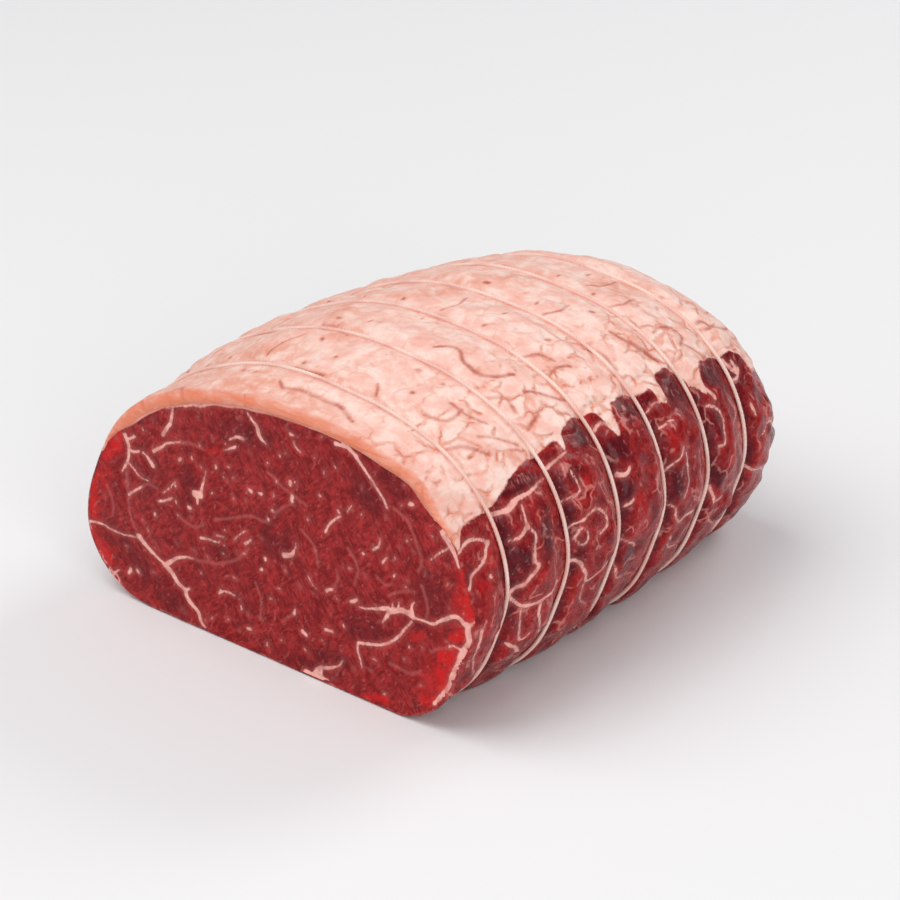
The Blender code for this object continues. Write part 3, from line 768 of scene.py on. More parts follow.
def join_and_close(name, parts):
    """Joins parts, merges their shared edges and points the faces outwards."""
    clear_selection()
    for part in parts:
        part.select_set(True)
    bpy.context.view_layer.objects.active = parts[0]
    bpy.ops.object.join()
    bpy.ops.object.mode_set(mode="EDIT")
    bpy.ops.mesh.select_all(action="SELECT")
    bpy.ops.mesh.remove_doubles(threshold=0.01 * MM)
    bpy.ops.mesh.dissolve_degenerate(threshold=0.001 * MM)
    bpy.ops.mesh.normals_make_consistent(inside=False)
    bpy.ops.object.mode_set(mode="OBJECT")
    piece = bpy.context.object
    piece.name = piece.data.name = name
    piece.data.shade_smooth()
    return piece


def finish_piece(piece, material, node):
    piece.data.materials.clear()
    piece.data.materials.append(material)
    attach(piece, "root")
    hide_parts(node)


# The meat

def meat_depth(y, angle):
    """Depth of the meat's surface: a rounded rim on the bare side, stepped down below the fat."""
    covered = smooth((fat_margin(y, angle) + 0.3) / 2.2)
    return (fat_depth(y, angle) - OVERLAP) * covered + edge_depth(y, RIM) * (1.0 - covered)


def meat_angles(y, column, counts):
    """Angle of a column: bare right side, under the fat, bare left side, then the underside."""
    low, far = np.radians(BARE_SIDES)
    marks = [np.full_like(y, low), right_edge(y) + STEP_TURN, left_edge(y) - STEP_TURN,
             np.full_like(y, far), np.full_like(y, low + TAU)]
    first, angle = 0, np.zeros_like(y)
    for count, start, end in zip(counts, marks, marks[1:]):
        here = (column >= first) & (column <= first + count)
        angle = np.where(here, start + (end - start) * (column - first) / count, angle)
        first += count
    return angle


def make_meat(sizes):
    side_step, face_step = sizes.side_detail / MM, sizes.face_detail / MM
    ys = rows_along(RIM, side_step)
    counts = (int(RIGHT_RUN / side_step), COVERED_COLUMNS,
              int(LEFT_RUN / side_step / LEFT_COARSER), UNDERSIDE_COLUMNS)
    columns = np.arange(sum(counts))

    def points_at(row, column):
        y = ys[row]
        angle = meat_angles(y, column % len(columns), counts)
        return skin(y, angle, meat_depth(y, angle)), y - FACE_Y - MAP_ZERO, angle, 0.0

    def end_patch(row, side, step, slope):
        ring_points, along, _, _ = points_at(np.full(len(columns), row), columns)
        ring = ring_points[:, (0, 2)]
        start = ring_points[0, 1] - slope * ring_points[0, 2]

        def to_points(flat, order):
            points = np.stack([flat[:, 0], start + slope * flat[:, 1], flat[:, 1]], -1)
            edge = order < len(ring_points)
            points[edge] = ring_points[order[edge]]
            return points, along[0], np.arctan2(flat[:, 1] - CORE_HEIGHT, flat[:, 0])

        inner = dots_inside(ring, step, RING_MARGIN * step)
        return filled_patch("meat_end", ring, inner, to_points, side, 0.0)

    meat = join_and_close("meat_visual", [
        wrapped_grid("meat_side", len(ys) - 1, len(columns), points_at, BARE_SIDE),
        end_patch(0, CUT_FACE, face_step, 0.0),
        end_patch(len(ys) - 1, FAR_END, FAR_END_DETAIL, -END_LEAN)])
    mark_meat(meat.data)
    return meat


def mark_meat(mesh):
    """Marks of the meat as attributes, and the low relief that goes with them."""
    spots = positions(mesh)
    side, along, turn = get(mesh, "side", "along", "turn")
    fine, wide = sways(spots)
    face, far = side > 0.5, side > 1.5
    bare = ~face
    y = along + MAP_ZERO + FACE_Y
    seam, trace = np.full(len(spots), NO_LINE), np.full(len(spots), NO_LINE)
    bright, dark, film = (np.zeros(len(spots)) for _ in range(3))
    cover = np.full(len(spots), -COVER_LIMIT)

    stretch = np.where(far, FAR_STRETCH, 1.0)
    x, z = spots[:, 0] * stretch, (spots[:, 2] - CORE_HEIGHT) * stretch
    flat = np.stack([x * np.where(far, -1.0, 1.0), CORE_HEIGHT + z], -1)
    flat = (flat + 0.22 * fine + np.where(far, 1.6, 0.15)[:, None] * wide)[face]
    flecks = flecks_as_strokes(FACE_FLECKS + scattered_flecks(120, 8), 5)
    seam[face] = line_distance(flat, FACE_SEAMS + flecks)
    trace[face] = line_distance(flat, FACE_TRACES)
    strips = smooth(0.5 - line_distance(flat, FACE_RED) / 1.2)
    bright[face] = np.maximum(0.5 * patches(flat, FACE_BRIGHT), strips)
    dark[face] = 0.5 * patches(flat, FACE_DARK)
    outline = skin(FACE_Y, turn)
    reach = np.hypot(outline[:, 0], outline[:, 2] - CORE_HEIGHT)
    own = np.hypot(x, z)
    right, left = np.radians(FACE_FAT)
    band = FAT_THICKNESS * smooth(np.minimum(turn - right, left - turn) * LOOP_WIDTH / 2 / FAT_TAPER)
    pale_line = PALE_LINE * (0.4 + 0.6 * smooth((np.degrees(turn) - 85.0) / 25.0))
    front_cover = own - reach + band + pale_line + 0.35 * lumps(spots, 5.0, 9)
    cover[face] = np.where((turn > 0.1) & (turn < 3.14), front_cover, -COVER_LIMIT)[face]

    shift = 0.35 * fine + 0.5 * wide
    places = side_map(along, turn)[0] + shift
    drawn = side_marks(places[bare])
    for values, name in ((seam, "seam"), (bright, "bright"), (dark, "dark"), (film, "film")):
        values[bare] = drawn[name]
    cover[bare] = border_distance((places + shift)[bare])
    behind = y[:, None] - LOOP_PLACES
    near = np.abs(behind).min(1)
    degrees = places[:, 1] / MM_PER_DEGREE
    # Painted shade in the hollow just behind each string, below the fat's edge; the same mask also sinks the surface
    # there
    shaded_hollow = (smooth((behind - 0.1) / 0.8) * (1.0 - smooth((behind - 1.6) / 3.4))).max(1)
    shaded_hollow *= smooth((23.0 - degrees) / 6.0)
    dark[bare] = np.maximum(dark, shaded_hollow * (0.95 + 0.25 * lumps(spots, 6.0, 7)))[bare]
    rim = (1.0 - smooth((y - FACE_Y) / 1.2)) * ((turn < -0.1) | (turn > 3.3))
    # Painted sheen in a band just before each string, stronger lower down, laid into the film mark
    sheen = hump(behind + 2.7, 1.9).max(1) * smooth((16.0 - degrees) / 26.0)
    film = np.maximum(film, np.maximum(0.55 * rim, 0.95 * sheen) * bare)
    put(mesh, seam=seam, trace=trace, bright=bright, dark=dark, film=film, cover=cover)

    valley = hump(np.maximum(seam, 0.0), 1.1)
    on_face = (layered(spots, FACE_RELIEF) - 0.22 * valley
               - 0.12 * hump(np.maximum(trace, 0.0), 0.8) - 0.12 * dark)
    on_side = (smooth((near - 0.9) / 2.0)
               * (layered(spots, MEAT_RELIEF) - 0.55 * valley + 0.35 * bright - 0.45 * dark)
               - 0.55 * shaded_hollow + 0.55 * hump(near, 1.2))
    free = smooth((spots[:, 2] - 1.0) / 6.0) * smooth(0.5 - cover / 2.0)
    front = smooth((reach - own) / 1.5)
    ends = smooth((y - FACE_Y) / 2.0) * smooth((END_Y - y + 2.0) / 4.0)
    relief = np.where(face, on_face * np.where(far, 1.6, front), on_side * free * ends)
    place_points(mesh, spots + normals(mesh) * relief[:, None])


# The fat

def make_fat(sizes):
    step = sizes.fat_detail / MM
    ys = rows_along(FAT_LIP, step)
    columns = int(FAT_RUN / step)
    spill = FAT_SPILL / (LOOP_WIDTH / 2)

    def angle_at(y, share):
        start, end = right_edge(y) - spill, left_edge(y) + spill
        return start + (end - start) * share

    def outer_depth(y, angle):
        sunk = 1.0 - smooth((fat_margin(y, angle) + FAT_SPILL) / (FAT_SPILL + 1.2))
        return np.maximum(FAT_SINK * sunk, edge_depth(y, FAT_LIP))

    def outer_at(row, column):
        y = ys[row]
        angle = angle_at(y, column / columns)
        from_cut = np.minimum(y - FACE_Y, END_Y - y)
        return (skin(y, angle, outer_depth(y, angle)), y - FACE_Y - MAP_ZERO, angle,
                -np.clip(from_cut / CUT_FADE, 0.0, 1.0))

    def strip_at(y_end):
        def points_at(row, column):
            y = np.full(len(row), y_end)
            angle = angle_at(y, column / columns)
            share = row / STRIP_ROWS
            outer = outer_depth(y, angle)
            ends = np.minimum(column, columns - column)
            inner = np.where(ends == 0, outer, np.maximum(fat_depth(y, angle), outer + 0.05))
            points = skin(y, angle, outer + (inner - outer) * share)
            if y_end == FACE_Y:
                points[:, 1] -= CUT_BULGE * np.sin(math.pi * share) * smooth(ends / 12.0)
            return points, y - FACE_Y - MAP_ZERO, angle, share
        return points_at

    parts = [wrapped_grid("fat_outer", len(ys) - 1, columns, outer_at, BARE_SIDE)]
    across = np.arange(columns + 1)
    inner_rows = []
    for y_end, side in ((FACE_Y, FRONT_CUT), (END_Y, BACK_CUT)):
        points_at = strip_at(y_end)
        parts.append(wrapped_grid("fat_cut", STRIP_ROWS, columns, points_at, side))
        inner_rows.append(points_at(np.full(columns + 1, STRIP_ROWS), across)[:3])
    rows = np.arange(1, len(ys) - 1)
    sides = [outer_at(rows, np.full(len(rows), column))[:3] for column in (columns, 0)]
    pieces = (inner_rows[0], sides[0], [value[::-1] for value in inner_rows[1]],
              [value[::-1] for value in sides[1]])
    ring_points, ring_y, ring_turn = (np.concatenate(values) for values in zip(*pieces))
    grid_y, grid_share = (grid.ravel() for grid in np.meshgrid(*UNDERSIDE_GRID))
    grid_turn = angle_at(grid_y + MAP_ZERO + FACE_Y, grid_share)
    ring, inner = (np.stack([y, turn * LOOP_WIDTH / 2], -1)
                   for y, turn in ((ring_y, ring_turn), (grid_y, grid_turn)))

    def to_points(flat, order):
        y, angle = flat[:, 0] + MAP_ZERO + FACE_Y, flat[:, 1] / (LOOP_WIDTH / 2)
        points = skin(y, angle, np.maximum(fat_depth(y, angle), LEAST_DEPTH))
        edge = order < len(ring_points)
        points[edge] = ring_points[order[edge]]
        return points, flat[:, 0], angle

    parts.append(filled_patch("fat_inner", ring, inner, to_points, FAT_UNDERSIDE, 2.0))
    fat = join_and_close("fat_cap_visual", parts)
    mark_fat(fat.data)
    return fat


def mark_fat(mesh):
    """Marks of the fat as attributes, and its low relief."""
    spots = positions(mesh)
    side, along, turn = get(mesh, "side", "along", "turn")
    fine, wide = sways(spots)
    y, degrees = along + MAP_ZERO + FACE_Y, np.degrees(turn)
    near = np.abs(y[:, None] - LOOP_PLACES).min(1)
    shift = 0.35 * fine + 0.5 * wide
    places, left = side_map(along, turn)
    places = places + shift
    straight = np.stack([along, degrees * MM_PER_DEGREE], -1) + 0.3 * fine + 0.4 * wide
    # Veins, and one line of painted shade along the crease behind the first string
    veins_and_shade = FAT_VEINS_AND_SHADE + flecks_as_strokes(FAT_SPOTS, 6, MM_PER_DEGREE)
    vein_and_shade = line_distance(straight, veins_and_shade, SIDE_UNIT)
    vein_and_shade = np.where(left, np.minimum(vein_and_shade, line_distance(places, veins_and_shade, SIDE_UNIT)), vein_and_shade) - VEIN_SPREAD
    tan = patches(straight, FAT_TAN_AND_SHADE, SIDE_UNIT)
    # Painted shade in the thin creases on both sides of each string
    tan = np.maximum(tan, 0.90 * hump(near - 0.95, 0.5) * (0.7 + 0.6 * lumps(spots, 7.0, 31)))
    tan = np.maximum(tan, 0.55 * smooth((degrees - 70.0) / 60.0) + 0.35 * smooth((8.0 - y + FACE_Y) / 8.0))
    creased = 0.25 + 0.75 * smooth((58.0 - degrees) / 20.0)
    cutting = (side > FRONT_CUT - 0.5) & (side < BACK_CUT + 0.5)
    cover = np.where(cutting, COVER_LIMIT, border_distance(places + shift))
    put(mesh, trace=vein_and_shade, cover=cover, tan=tan, creased=creased, **side_marks(places))

    open_side = smooth((y - FACE_Y) / 3.0) * smooth(fat_margin(y, turn) / 3.0) * (side < 0.5)
    relief = (smooth((near - 0.9) / 2.0) * layered(spots, FAT_RELIEF)
              - 0.18 * hump(vein_and_shade + 0.4, 1.1) + 0.85 * hump(near, 1.9))
    place_points(mesh, spots + normals(mesh) * (relief * open_side)[:, None])


# The string

def make_twine(diameter, lay, length):
    """A straight twisted string along Z from a three-lobed ring, with a whole number of turns."""
    clear_selection()
    bpy.ops.mesh.primitive_circle_add(vertices=TWINE_SIDES, radius=diameter / 2)
    twine = bpy.context.object
    for vertex in twine.data.vertices:
        turn = math.atan2(vertex.co.y, vertex.co.x)
        vertex.co *= 1.0 - TWINE_LOBE * (1.0 - abs(math.cos(TWINE_STRANDS / 2 * turn)))
    turns = round(length / lay)
    screw = twine.modifiers.new("lay", "SCREW")
    screw.axis = "Z"
    screw.angle = TAU
    screw.iterations = turns
    screw.screw_offset = length / turns
    screw.steps = screw.render_steps = TWINE_STEPS
    bpy.ops.object.modifier_apply(modifier=screw.name)
    mesh = twine.data
    spots = positions(mesh)
    put(mesh, along=spots[:, 2],
        turn=np.arctan2(spots[:, 1], spots[:, 0]) - spots[:, 2] * MM / (length / turns) * TAU)
    return twine


def string_path(index, y):
    """Closed curve along one loop, wandering a little sideways as a tied string does."""
    draw = random.Random(100 + index)
    phases = [draw.uniform(0.0, TAU) for _ in range(3)]
    turn = np.linspace(0.0, TAU, PATH_POINTS, endpoint=False)
    x, z = loop_line(np.full_like(turn, y), turn)
    sway = sum(STRING_SWAY * np.sin((k + 2) * turn + phase) for k, phase in enumerate(phases))
    sway = sway * smooth((z - 3.0) / 8.0)
    curve = bpy.data.curves.new(f"path_{index}", "CURVE")
    curve.dimensions = "3D"
    spline = curve.splines.new("POLY")
    spline.points.add(len(turn) - 1)
    points = np.stack([x, y + SHIFT_Y + sway, np.maximum(z, STRING_LOWEST)], -1)
    for point, place in zip(spline.points, points):
        point.co = (*(place * MM), 1.0)
    spline.use_cyclic_u = True
    path = bpy.data.objects.new(curve.name, curve)
    bpy.context.scene.collection.objects.link(path)
    closed = np.vstack([points, points[:1]])
    return path, np.linalg.norm(np.diff(closed, axis=0), axis=1).sum() * MM


def make_string(index, y, sizes):
    path, length = string_path(index, y)
    twine = make_twine(sizes.string_diameter, sizes.string_lay, length)
    bend = twine.modifiers.new("bend", "CURVE")
    bend.object = path
    bend.deform_axis = "POS_Z"
    bpy.ops.object.modifier_apply(modifier=bend.name)
    bpy.data.objects.remove(path, do_unlink=True)
    return join_and_close(f"string_{index}_visual", [twine])


# Material helpers. Sizes are in millimetres

def add(tree, kind, **settings):
    node = tree.nodes.new(kind)
    for name, value in settings.items():
        setattr(node, name, value)
    return node


def feed(tree, socket, value):
    """Links a socket, or sets its value."""
    if isinstance(value, bpy.types.NodeSocket):
        tree.links.new(value, socket)
    else:
        socket.default_value = (*value, 1.0) if socket.type == "RGBA" and len(value) == 3 else value


def maths(tree, operation, a, b=0.0, clamp=False):
    node = add(tree, "ShaderNodeMath", operation=operation, use_clamp=clamp)
    feed(tree, node.inputs[0], a)
    feed(tree, node.inputs[1], b)
    return node.outputs[0]


def times(tree, a, b, clamp=False):
    return maths(tree, "MULTIPLY", a, b, clamp)


def plus(tree, a, b):
    return maths(tree, "ADD", a, b)


def minus(tree, a, b):
    return maths(tree, "SUBTRACT", a, b)


def ramp(tree, value, low, high, start=0.0, end=1.0):
    """Smooth step of a value from one level to another."""
    node = add(tree, "ShaderNodeMapRange", interpolation_type="SMOOTHSTEP")
    for socket, item in zip(node.inputs, (value, low, high, start, end)):
        feed(tree, socket, item)
    return node.outputs[0]


def blend(tree, share, a, b, kind="MIX"):
    node = add(tree, "ShaderNodeMix", data_type="RGBA", blend_type=kind)
    for socket, item in zip((node.inputs[0], node.inputs[6], node.inputs[7]), (share, a, b)):
        feed(tree, socket, item)
    return node.outputs[2]


def tint(tree, base, colour, mask, strength, kind="MIX"):
    """A colour laid over another where a mask shows, at most this strongly."""
    return blend(tree, times(tree, mask, strength), base, colour, kind)


def place(tree, turn=(0, 0, 0), stretch=(1, 1, 1)):
    """Object coordinates, turned by degrees and stretched."""
    node = add(tree, "ShaderNodeMapping", vector_type="TEXTURE")
    tree.links.new(add(tree, "ShaderNodeTexCoord").outputs["Object"], node.inputs[0])
    node.inputs["Rotation"].default_value = [math.radians(value) for value in turn]
    node.inputs["Scale"].default_value = [1.0 / value for value in stretch]
    return node.outputs[0]


def grain(tree, size, detail=2.0, rough=0.55, distortion=0.0, turn=(0, 0, 0), stretch=(1, 1, 1)):
    """Noise with features of about this size, from 0 to 1."""
    node = add(tree, "ShaderNodeTexNoise")
    feed(tree, node.inputs["Vector"], place(tree, turn, stretch))
    node.inputs["Scale"].default_value = 1.0 / (size * MM)
    node.inputs["Detail"].default_value = detail
    node.inputs["Roughness"].default_value = rough
    node.inputs["Distortion"].default_value = distortion
    return node.outputs[0]


def blotches(tree, size, low, high, start=0.0, end=1.0, **noise):
    """Soft-edged blotches: noise of this size, stepped between two of its levels."""
    return ramp(tree, grain(tree, size, **noise), low, high, start, end)


def wandering_cells(tree, size, sway_size, sway, **mapping):
    """Distance from the walls between cells that a coarser noise pushes about."""
    noise = add(tree, "ShaderNodeTexNoise")
    feed(tree, noise.inputs["Vector"], place(tree))
    noise.inputs["Scale"].default_value = 1.0 / (sway_size * MM)
    push = add(tree, "ShaderNodeVectorMath", operation="SCALE")
    tree.links.new(noise.outputs["Color"], push.inputs[0])
    push.inputs["Scale"].default_value = sway * MM
    moved = add(tree, "ShaderNodeVectorMath", operation="ADD")
    feed(tree, moved.inputs[0], place(tree, **mapping))
    tree.links.new(push.outputs[0], moved.inputs[1])
    walls = add(tree, "ShaderNodeTexVoronoi", feature="DISTANCE_TO_EDGE")
    feed(tree, walls.inputs["Vector"], moved.outputs[0])
    walls.inputs["Scale"].default_value = 1.0 / (size * MM)
    return walls.outputs[0]


def mark(tree, name):
    return add(tree, "ShaderNodeAttribute", attribute_name=name).outputs["Fac"]


def off_the_sides(tree, start=0.0, end=1.0):
    """Goes from one level on the bare sides to another on the cut face and ends."""
    return ramp(tree, mark(tree, "side"), 0.2, 0.8, start, end)


def group(name, inputs, outputs):
    """An empty node group with its sockets, and the nodes that stand for them."""
    tree = bpy.data.node_groups.new(name, "ShaderNodeTree")
    for label, kind in inputs:
        tree.interface.new_socket(label, in_out="INPUT", socket_type=kind)
    for label, kind in outputs:
        tree.interface.new_socket(label, in_out="OUTPUT", socket_type=kind)
    return tree, add(tree, "NodeGroupInput"), add(tree, "NodeGroupOutput")


def use(tree, shared, **values):
    node = add(tree, "ShaderNodeGroup", node_tree=shared)
    for label, value in values.items():
        feed(tree, node.inputs[label.capitalize()], value)
    return node


def new_material(name):
    material = bpy.data.materials.new(name)
    material.use_nodes = True
    return material, material.node_tree, material.node_tree.nodes["Principled BSDF"]


def set_shader(shader, **values):
    """Sets what is the same all over a surface."""
    for label, value in values.items():
        shader.inputs[label.replace("_", " ")].default_value = value


def raise_surface(tree, shader, height):
    """Feeds the normal from a height."""
    bump = add(tree, "ShaderNodeBump")
    set_shader(bump, Strength=1.0, Distance=MM)
    feed(tree, bump.inputs["Height"], height)
    tree.links.new(bump.outputs[0], shader.inputs["Normal"])


# Node groups

def drawn_edge_group():
    """Turns a distance from a drawn mark into a mask with a slightly ragged edge."""
    inputs = (("Distance", NUMBER), ("Softness", NUMBER), ("Ragged", NUMBER))
    tree, given, result = group("drawn_edge", inputs, (("Mask", NUMBER),))
    shift = times(tree, minus(tree, grain(tree, 0.8, 3.0, 0.6), 0.5), given.outputs["Ragged"])
    moved = plus(tree, given.outputs["Distance"], shift)
    inner = times(tree, given.outputs["Softness"], -1.0)
    tree.links.new(ramp(tree, moved, inner, given.outputs["Softness"], 1.0, 0.0), result.inputs["Mask"])
    return tree


def fibre_group():
    """Fine muscle fibres that run one way in some bundles and another way in others."""
    tree, given, result = group("muscle_fibre", (("Strength", NUMBER),),
                                (("Mask", NUMBER), ("Height", NUMBER)))
    one, two = (grain(tree, size, 3.0, 0.58, 0.4, turn=(0, lean, 0), stretch=(1.0, 1.0, 0.30))
                for size, lean in ((0.74, 46), (0.70, -32)))
    bundle = blotches(tree, 9.0, 0.42, 0.58, detail=1.0)
    mixed = plus(tree, times(tree, one, minus(tree, 1.0, bundle)), times(tree, two, bundle))
    coarse = grain(tree, 3.2, 4.0, 0.6, 0.7)
    both = plus(tree, times(tree, mixed, 0.58), times(tree, coarse, 0.42))
    tree.links.new(ramp(tree, both, 0.39, 0.63), result.inputs["Mask"])
    tree.links.new(times(tree, both, given.outputs["Strength"]), result.inputs["Height"])
    return tree


def fat_skin_group():
    """Colour and height of fat: pale cells, orange-pink cracks, darker in places, and blotches."""
    tree, given, result = group("fat_skin", (("Cream", COLOUR), ("Pink", COLOUR), ("Crack", COLOUR),
                                             ("Crackle", NUMBER)), (("Colour", COLOUR), ("Height", NUMBER)))
    cream, pink, brown, crackle = (given.outputs[name] for name in ("Cream", "Pink", "Crack", "Crackle"))
    walls = wandering_cells(tree, 5.6, 3.5, 2.6, turn=(0, 0, 12), stretch=(1.0, 0.7, 1.0))
    crack = times(tree, ramp(tree, walls, 0.01, 0.13, 1.0, 0.0), blotches(tree, 6.0, 0.40, 0.56))
    crack = times(tree, crack, crackle, clamp=True)
    deep = times(tree, times(tree, ramp(tree, walls, 0.0, 0.055, 1.0, 0.0), crack),
                 blotches(tree, 3.6, 0.44, 0.58), clamp=True)
    fine = grain(tree, 1.3, 3.0, 0.6, turn=(0, 0, 10), stretch=(1.0, 0.35, 1.0))
    smudge = blotches(tree, 2.6, 0.50, 0.72, detail=4.0, rough=0.65, distortion=0.8,
                      turn=(0, 0, 8), stretch=(0.38, 1.0, 0.7))
    base = blend(tree, blotches(tree, 5.0, 0.36, 0.66), cream, pink)
    base = tint(tree, base, pink, ramp(tree, fine, 0.50, 0.72), 0.40)
    base = tint(tree, base, brown, smudge, 0.42)
    base = tint(tree, base, brown, crack, 0.70)
    tree.links.new(tint(tree, base, brown, deep, 0.75, "MULTIPLY"), result.inputs["Colour"])
    tree.links.new(minus(tree, times(tree, fine, 0.34), times(tree, crack, 0.24)), result.inputs["Height"])
    return tree


# Materials

def muscle_colour(tree, colours, fibres):
    """Red of the meat: fibres, broad darker parts, and the drawn bright parts, dark parts with painted shade in the
    hollows behind the strings, and film with painted sheen just before them.
    """
    red = blend(tree, fibres.outputs["Mask"], colours.meat_deep, colours.meat_light)
    red = tint(tree, red, colours.meat_deep, blotches(tree, 16.0, 0.35, 0.70), 0.30)
    mottle = blotches(tree, 4.6, 0.50, 0.64, detail=3.0, rough=0.6, distortion=0.9,
                      turn=(0, 20, 0), stretch=(1.0, 1.0, 0.7))
    red = tint(tree, red, colours.meat_deep, mottle, 0.32)
    bright = times(tree, mark(tree, "bright"), blotches(tree, 2.2, 0.22, 0.55, detail=3.0))
    red = tint(tree, red, colours.meat_bright, bright, 0.95)
    # Dark muscle, and painted shade in the hollows behind the strings
    dark = times(tree, mark(tree, "dark"), blotches(tree, 3.0, 0.15, 0.55))
    red = tint(tree, red, colours.meat_dark, dark, 0.95)
    # Film, and painted sheen just before each string, in streaks
    streak = blotches(tree, 1.6, 0.42, 0.62, detail=3.0, rough=0.6, distortion=0.4, stretch=(1.0, 2.6, 0.5))
    return tint(tree, red, colours.film, times(tree, mark(tree, "film"), streak), 0.75)


def lobed(tree, red, colours):
    """Small lobes over the bare sides: dark in the middle, brighter and in places pale between."""
    bare = off_the_sides(tree, 1.0, 0.0)
    walls = wandering_cells(tree, 6.0, 4.0, 4.0, stretch=(1.0, 1.0, 0.7))
    red = tint(tree, red, colours.meat_dark, times(tree, ramp(tree, walls, 0.10, 0.42), bare), 0.55)
    pale = times(tree, ramp(tree, walls, 0.015, 0.07, 1.0, 0.0), blotches(tree, 6.0, 0.51, 0.62))
    return tint(tree, red, colours.seam_warm, times(tree, pale, bare), 0.42)


def fat_cap_colour(tree, colours, edge, cream, trace):
    """The fat's marks: tanned parts, veins with a soft border, painted shade in the creases beside the strings, and
    the salmon cut edge.
    """
    # Tanned fat, and painted shade in the creases beside the strings
    tan = times(tree, mark(tree, "tan"), blotches(tree, 3.4, 0.30, 0.65, detail=3.0))
    cream = tint(tree, cream, colours.fat_crack_and_shade, tan, 0.78)
    # Veins, and the painted shade line along the crease behind the first string, with a soft border
    soft_vein_and_shade = use(tree, edge, distance=minus(tree, mark(tree, "trace"), 0.45), softness=0.6, ragged=1.0)
    cream = tint(tree, cream, colours.fat_crack_and_shade, soft_vein_and_shade.outputs[0], 0.35)
    cream = tint(tree, cream, colours.vein_and_shade, trace, blotches(tree, 5.0, 0.36, 0.60, 0.42, 0.92, detail=3.0))
    streaks = grain(tree, 0.9, 3.0, 0.6, stretch=(0.25, 1.0, 1.0))
    depth = plus(tree, mark(tree, "cut"), times(tree, minus(tree, streaks, 0.5), 0.7))
    band = times(tree, ramp(tree, depth, -0.80, 0.40), ramp(tree, depth, 0.86, 1.05, 1.0, 0.75))
    layers = blotches(tree, 1.3, 0.38, 0.62, 0.72, 1.0, detail=3.0, rough=0.6, stretch=(0.12, 1.0, 1.0))
    return tint(tree, cream, colours.fat_cut, band, layers)


def flesh_material(name, colours, shared, fat):
    """Meat and fat in one surface, so that their border can wander over both pieces."""
    material, tree, shader = new_material(name)
    edge, fibre, skin_of_fat = shared
    fibres = use(tree, fibre, strength=0.16)
    red = muscle_colour(tree, colours, fibres)
    if not fat:
        red = lobed(tree, red, colours)
    tiny = blotches(tree, 1.3, 0.58, 0.70, detail=3.0, rough=0.6, distortion=0.5,
                    turn=(0, 35, 0), stretch=(1.0, 1.0, 0.6))
    red = tint(tree, red, colours.trace, tiny, 0.50)
    distance = mark(tree, "seam")
    halo = use(tree, edge, distance=minus(tree, distance, 0.55), softness=0.7, ragged=1.2)
    red = tint(tree, red, colours.trace, halo.outputs[0], 0.28)
    trace = use(tree, edge, distance=mark(tree, "trace"), softness=0.50, ragged=0.6).outputs[0]
    if not fat:
        red = tint(tree, red, colours.trace, trace, 0.55)
    seam = use(tree, edge, distance=plus(tree, distance, 0.12), softness=0.20, ragged=0.6)
    seam = times(tree, seam.outputs[0], blotches(tree, 2.8, 0.34, 0.58, 0.50, 0.97))
    red = blend(tree, seam, red, blend(tree, grain(tree, 2.0), colours.seam, colours.seam_warm))

    fatty = use(tree, skin_of_fat, cream=colours.fat_cream, pink=colours.fat_pink, crack=colours.fat_crack_and_shade,
                crackle=mark(tree, "creased") if fat else 1.0)
    if fat:
        cream = fat_cap_colour(tree, colours, edge, fatty.outputs["Colour"], trace)
    else:
        rim = ramp(tree, mark(tree, "cover"), 0.35, 0.85)
        rim = blend(tree, rim, colours.seam_warm, colours.fat_cut)
        cream = blend(tree, off_the_sides(tree), fatty.outputs["Colour"], rim)
    cover = use(tree, edge, distance=times(tree, mark(tree, "cover"), -1.0), softness=0.30,
                ragged=off_the_sides(tree, 0.8, 0.3)).outputs[0]
    tree.links.new(blend(tree, cover, red, cream), shader.inputs["Base Color"])

    uncovered = minus(tree, 1.0, cover)
    wet = grain(tree, 1.7)
    rough = add(tree, "ShaderNodeMix", data_type="FLOAT")
    flesh_and_fat = [ramp(tree, wet, 0.35, 0.70, *ends) for ends in ((0.20, 0.42), (0.38, 0.58))]
    for socket, item in zip((rough.inputs[0], rough.inputs[2], rough.inputs[3]), (cover, *flesh_and_fat)):
        feed(tree, socket, item)
    tree.links.new(rough.outputs[0], shader.inputs["Roughness"])
    flesh = times(tree, plus(tree, fibres.outputs["Height"], times(tree, seam, 0.07)), uncovered)
    height = plus(tree, flesh, times(tree, fatty.outputs["Height"], cover))
    if fat:
        height = minus(tree, height, times(tree, trace, 0.10))
    raise_surface(tree, shader, plus(tree, height, times(tree, grain(tree, 0.5), 0.05)))
    set_shader(shader, Subsurface_Weight=0.12 if fat else 0.06, Subsurface_Radius=(1.0, 0.35, 0.25),
               Subsurface_Scale=1.5 * MM, Specular_IOR_Level=0.25 if fat else 0.12)
    if not fat:
        damp = times(tree, off_the_sides(tree, 1.0, 0.0), uncovered)
        feed(tree, shader.inputs["Coat Weight"], times(tree, damp, ramp(tree, wet, 0.42, 0.68, 0.02, 0.20)))
        set_shader(shader, Coat_Roughness=0.16)
    return material


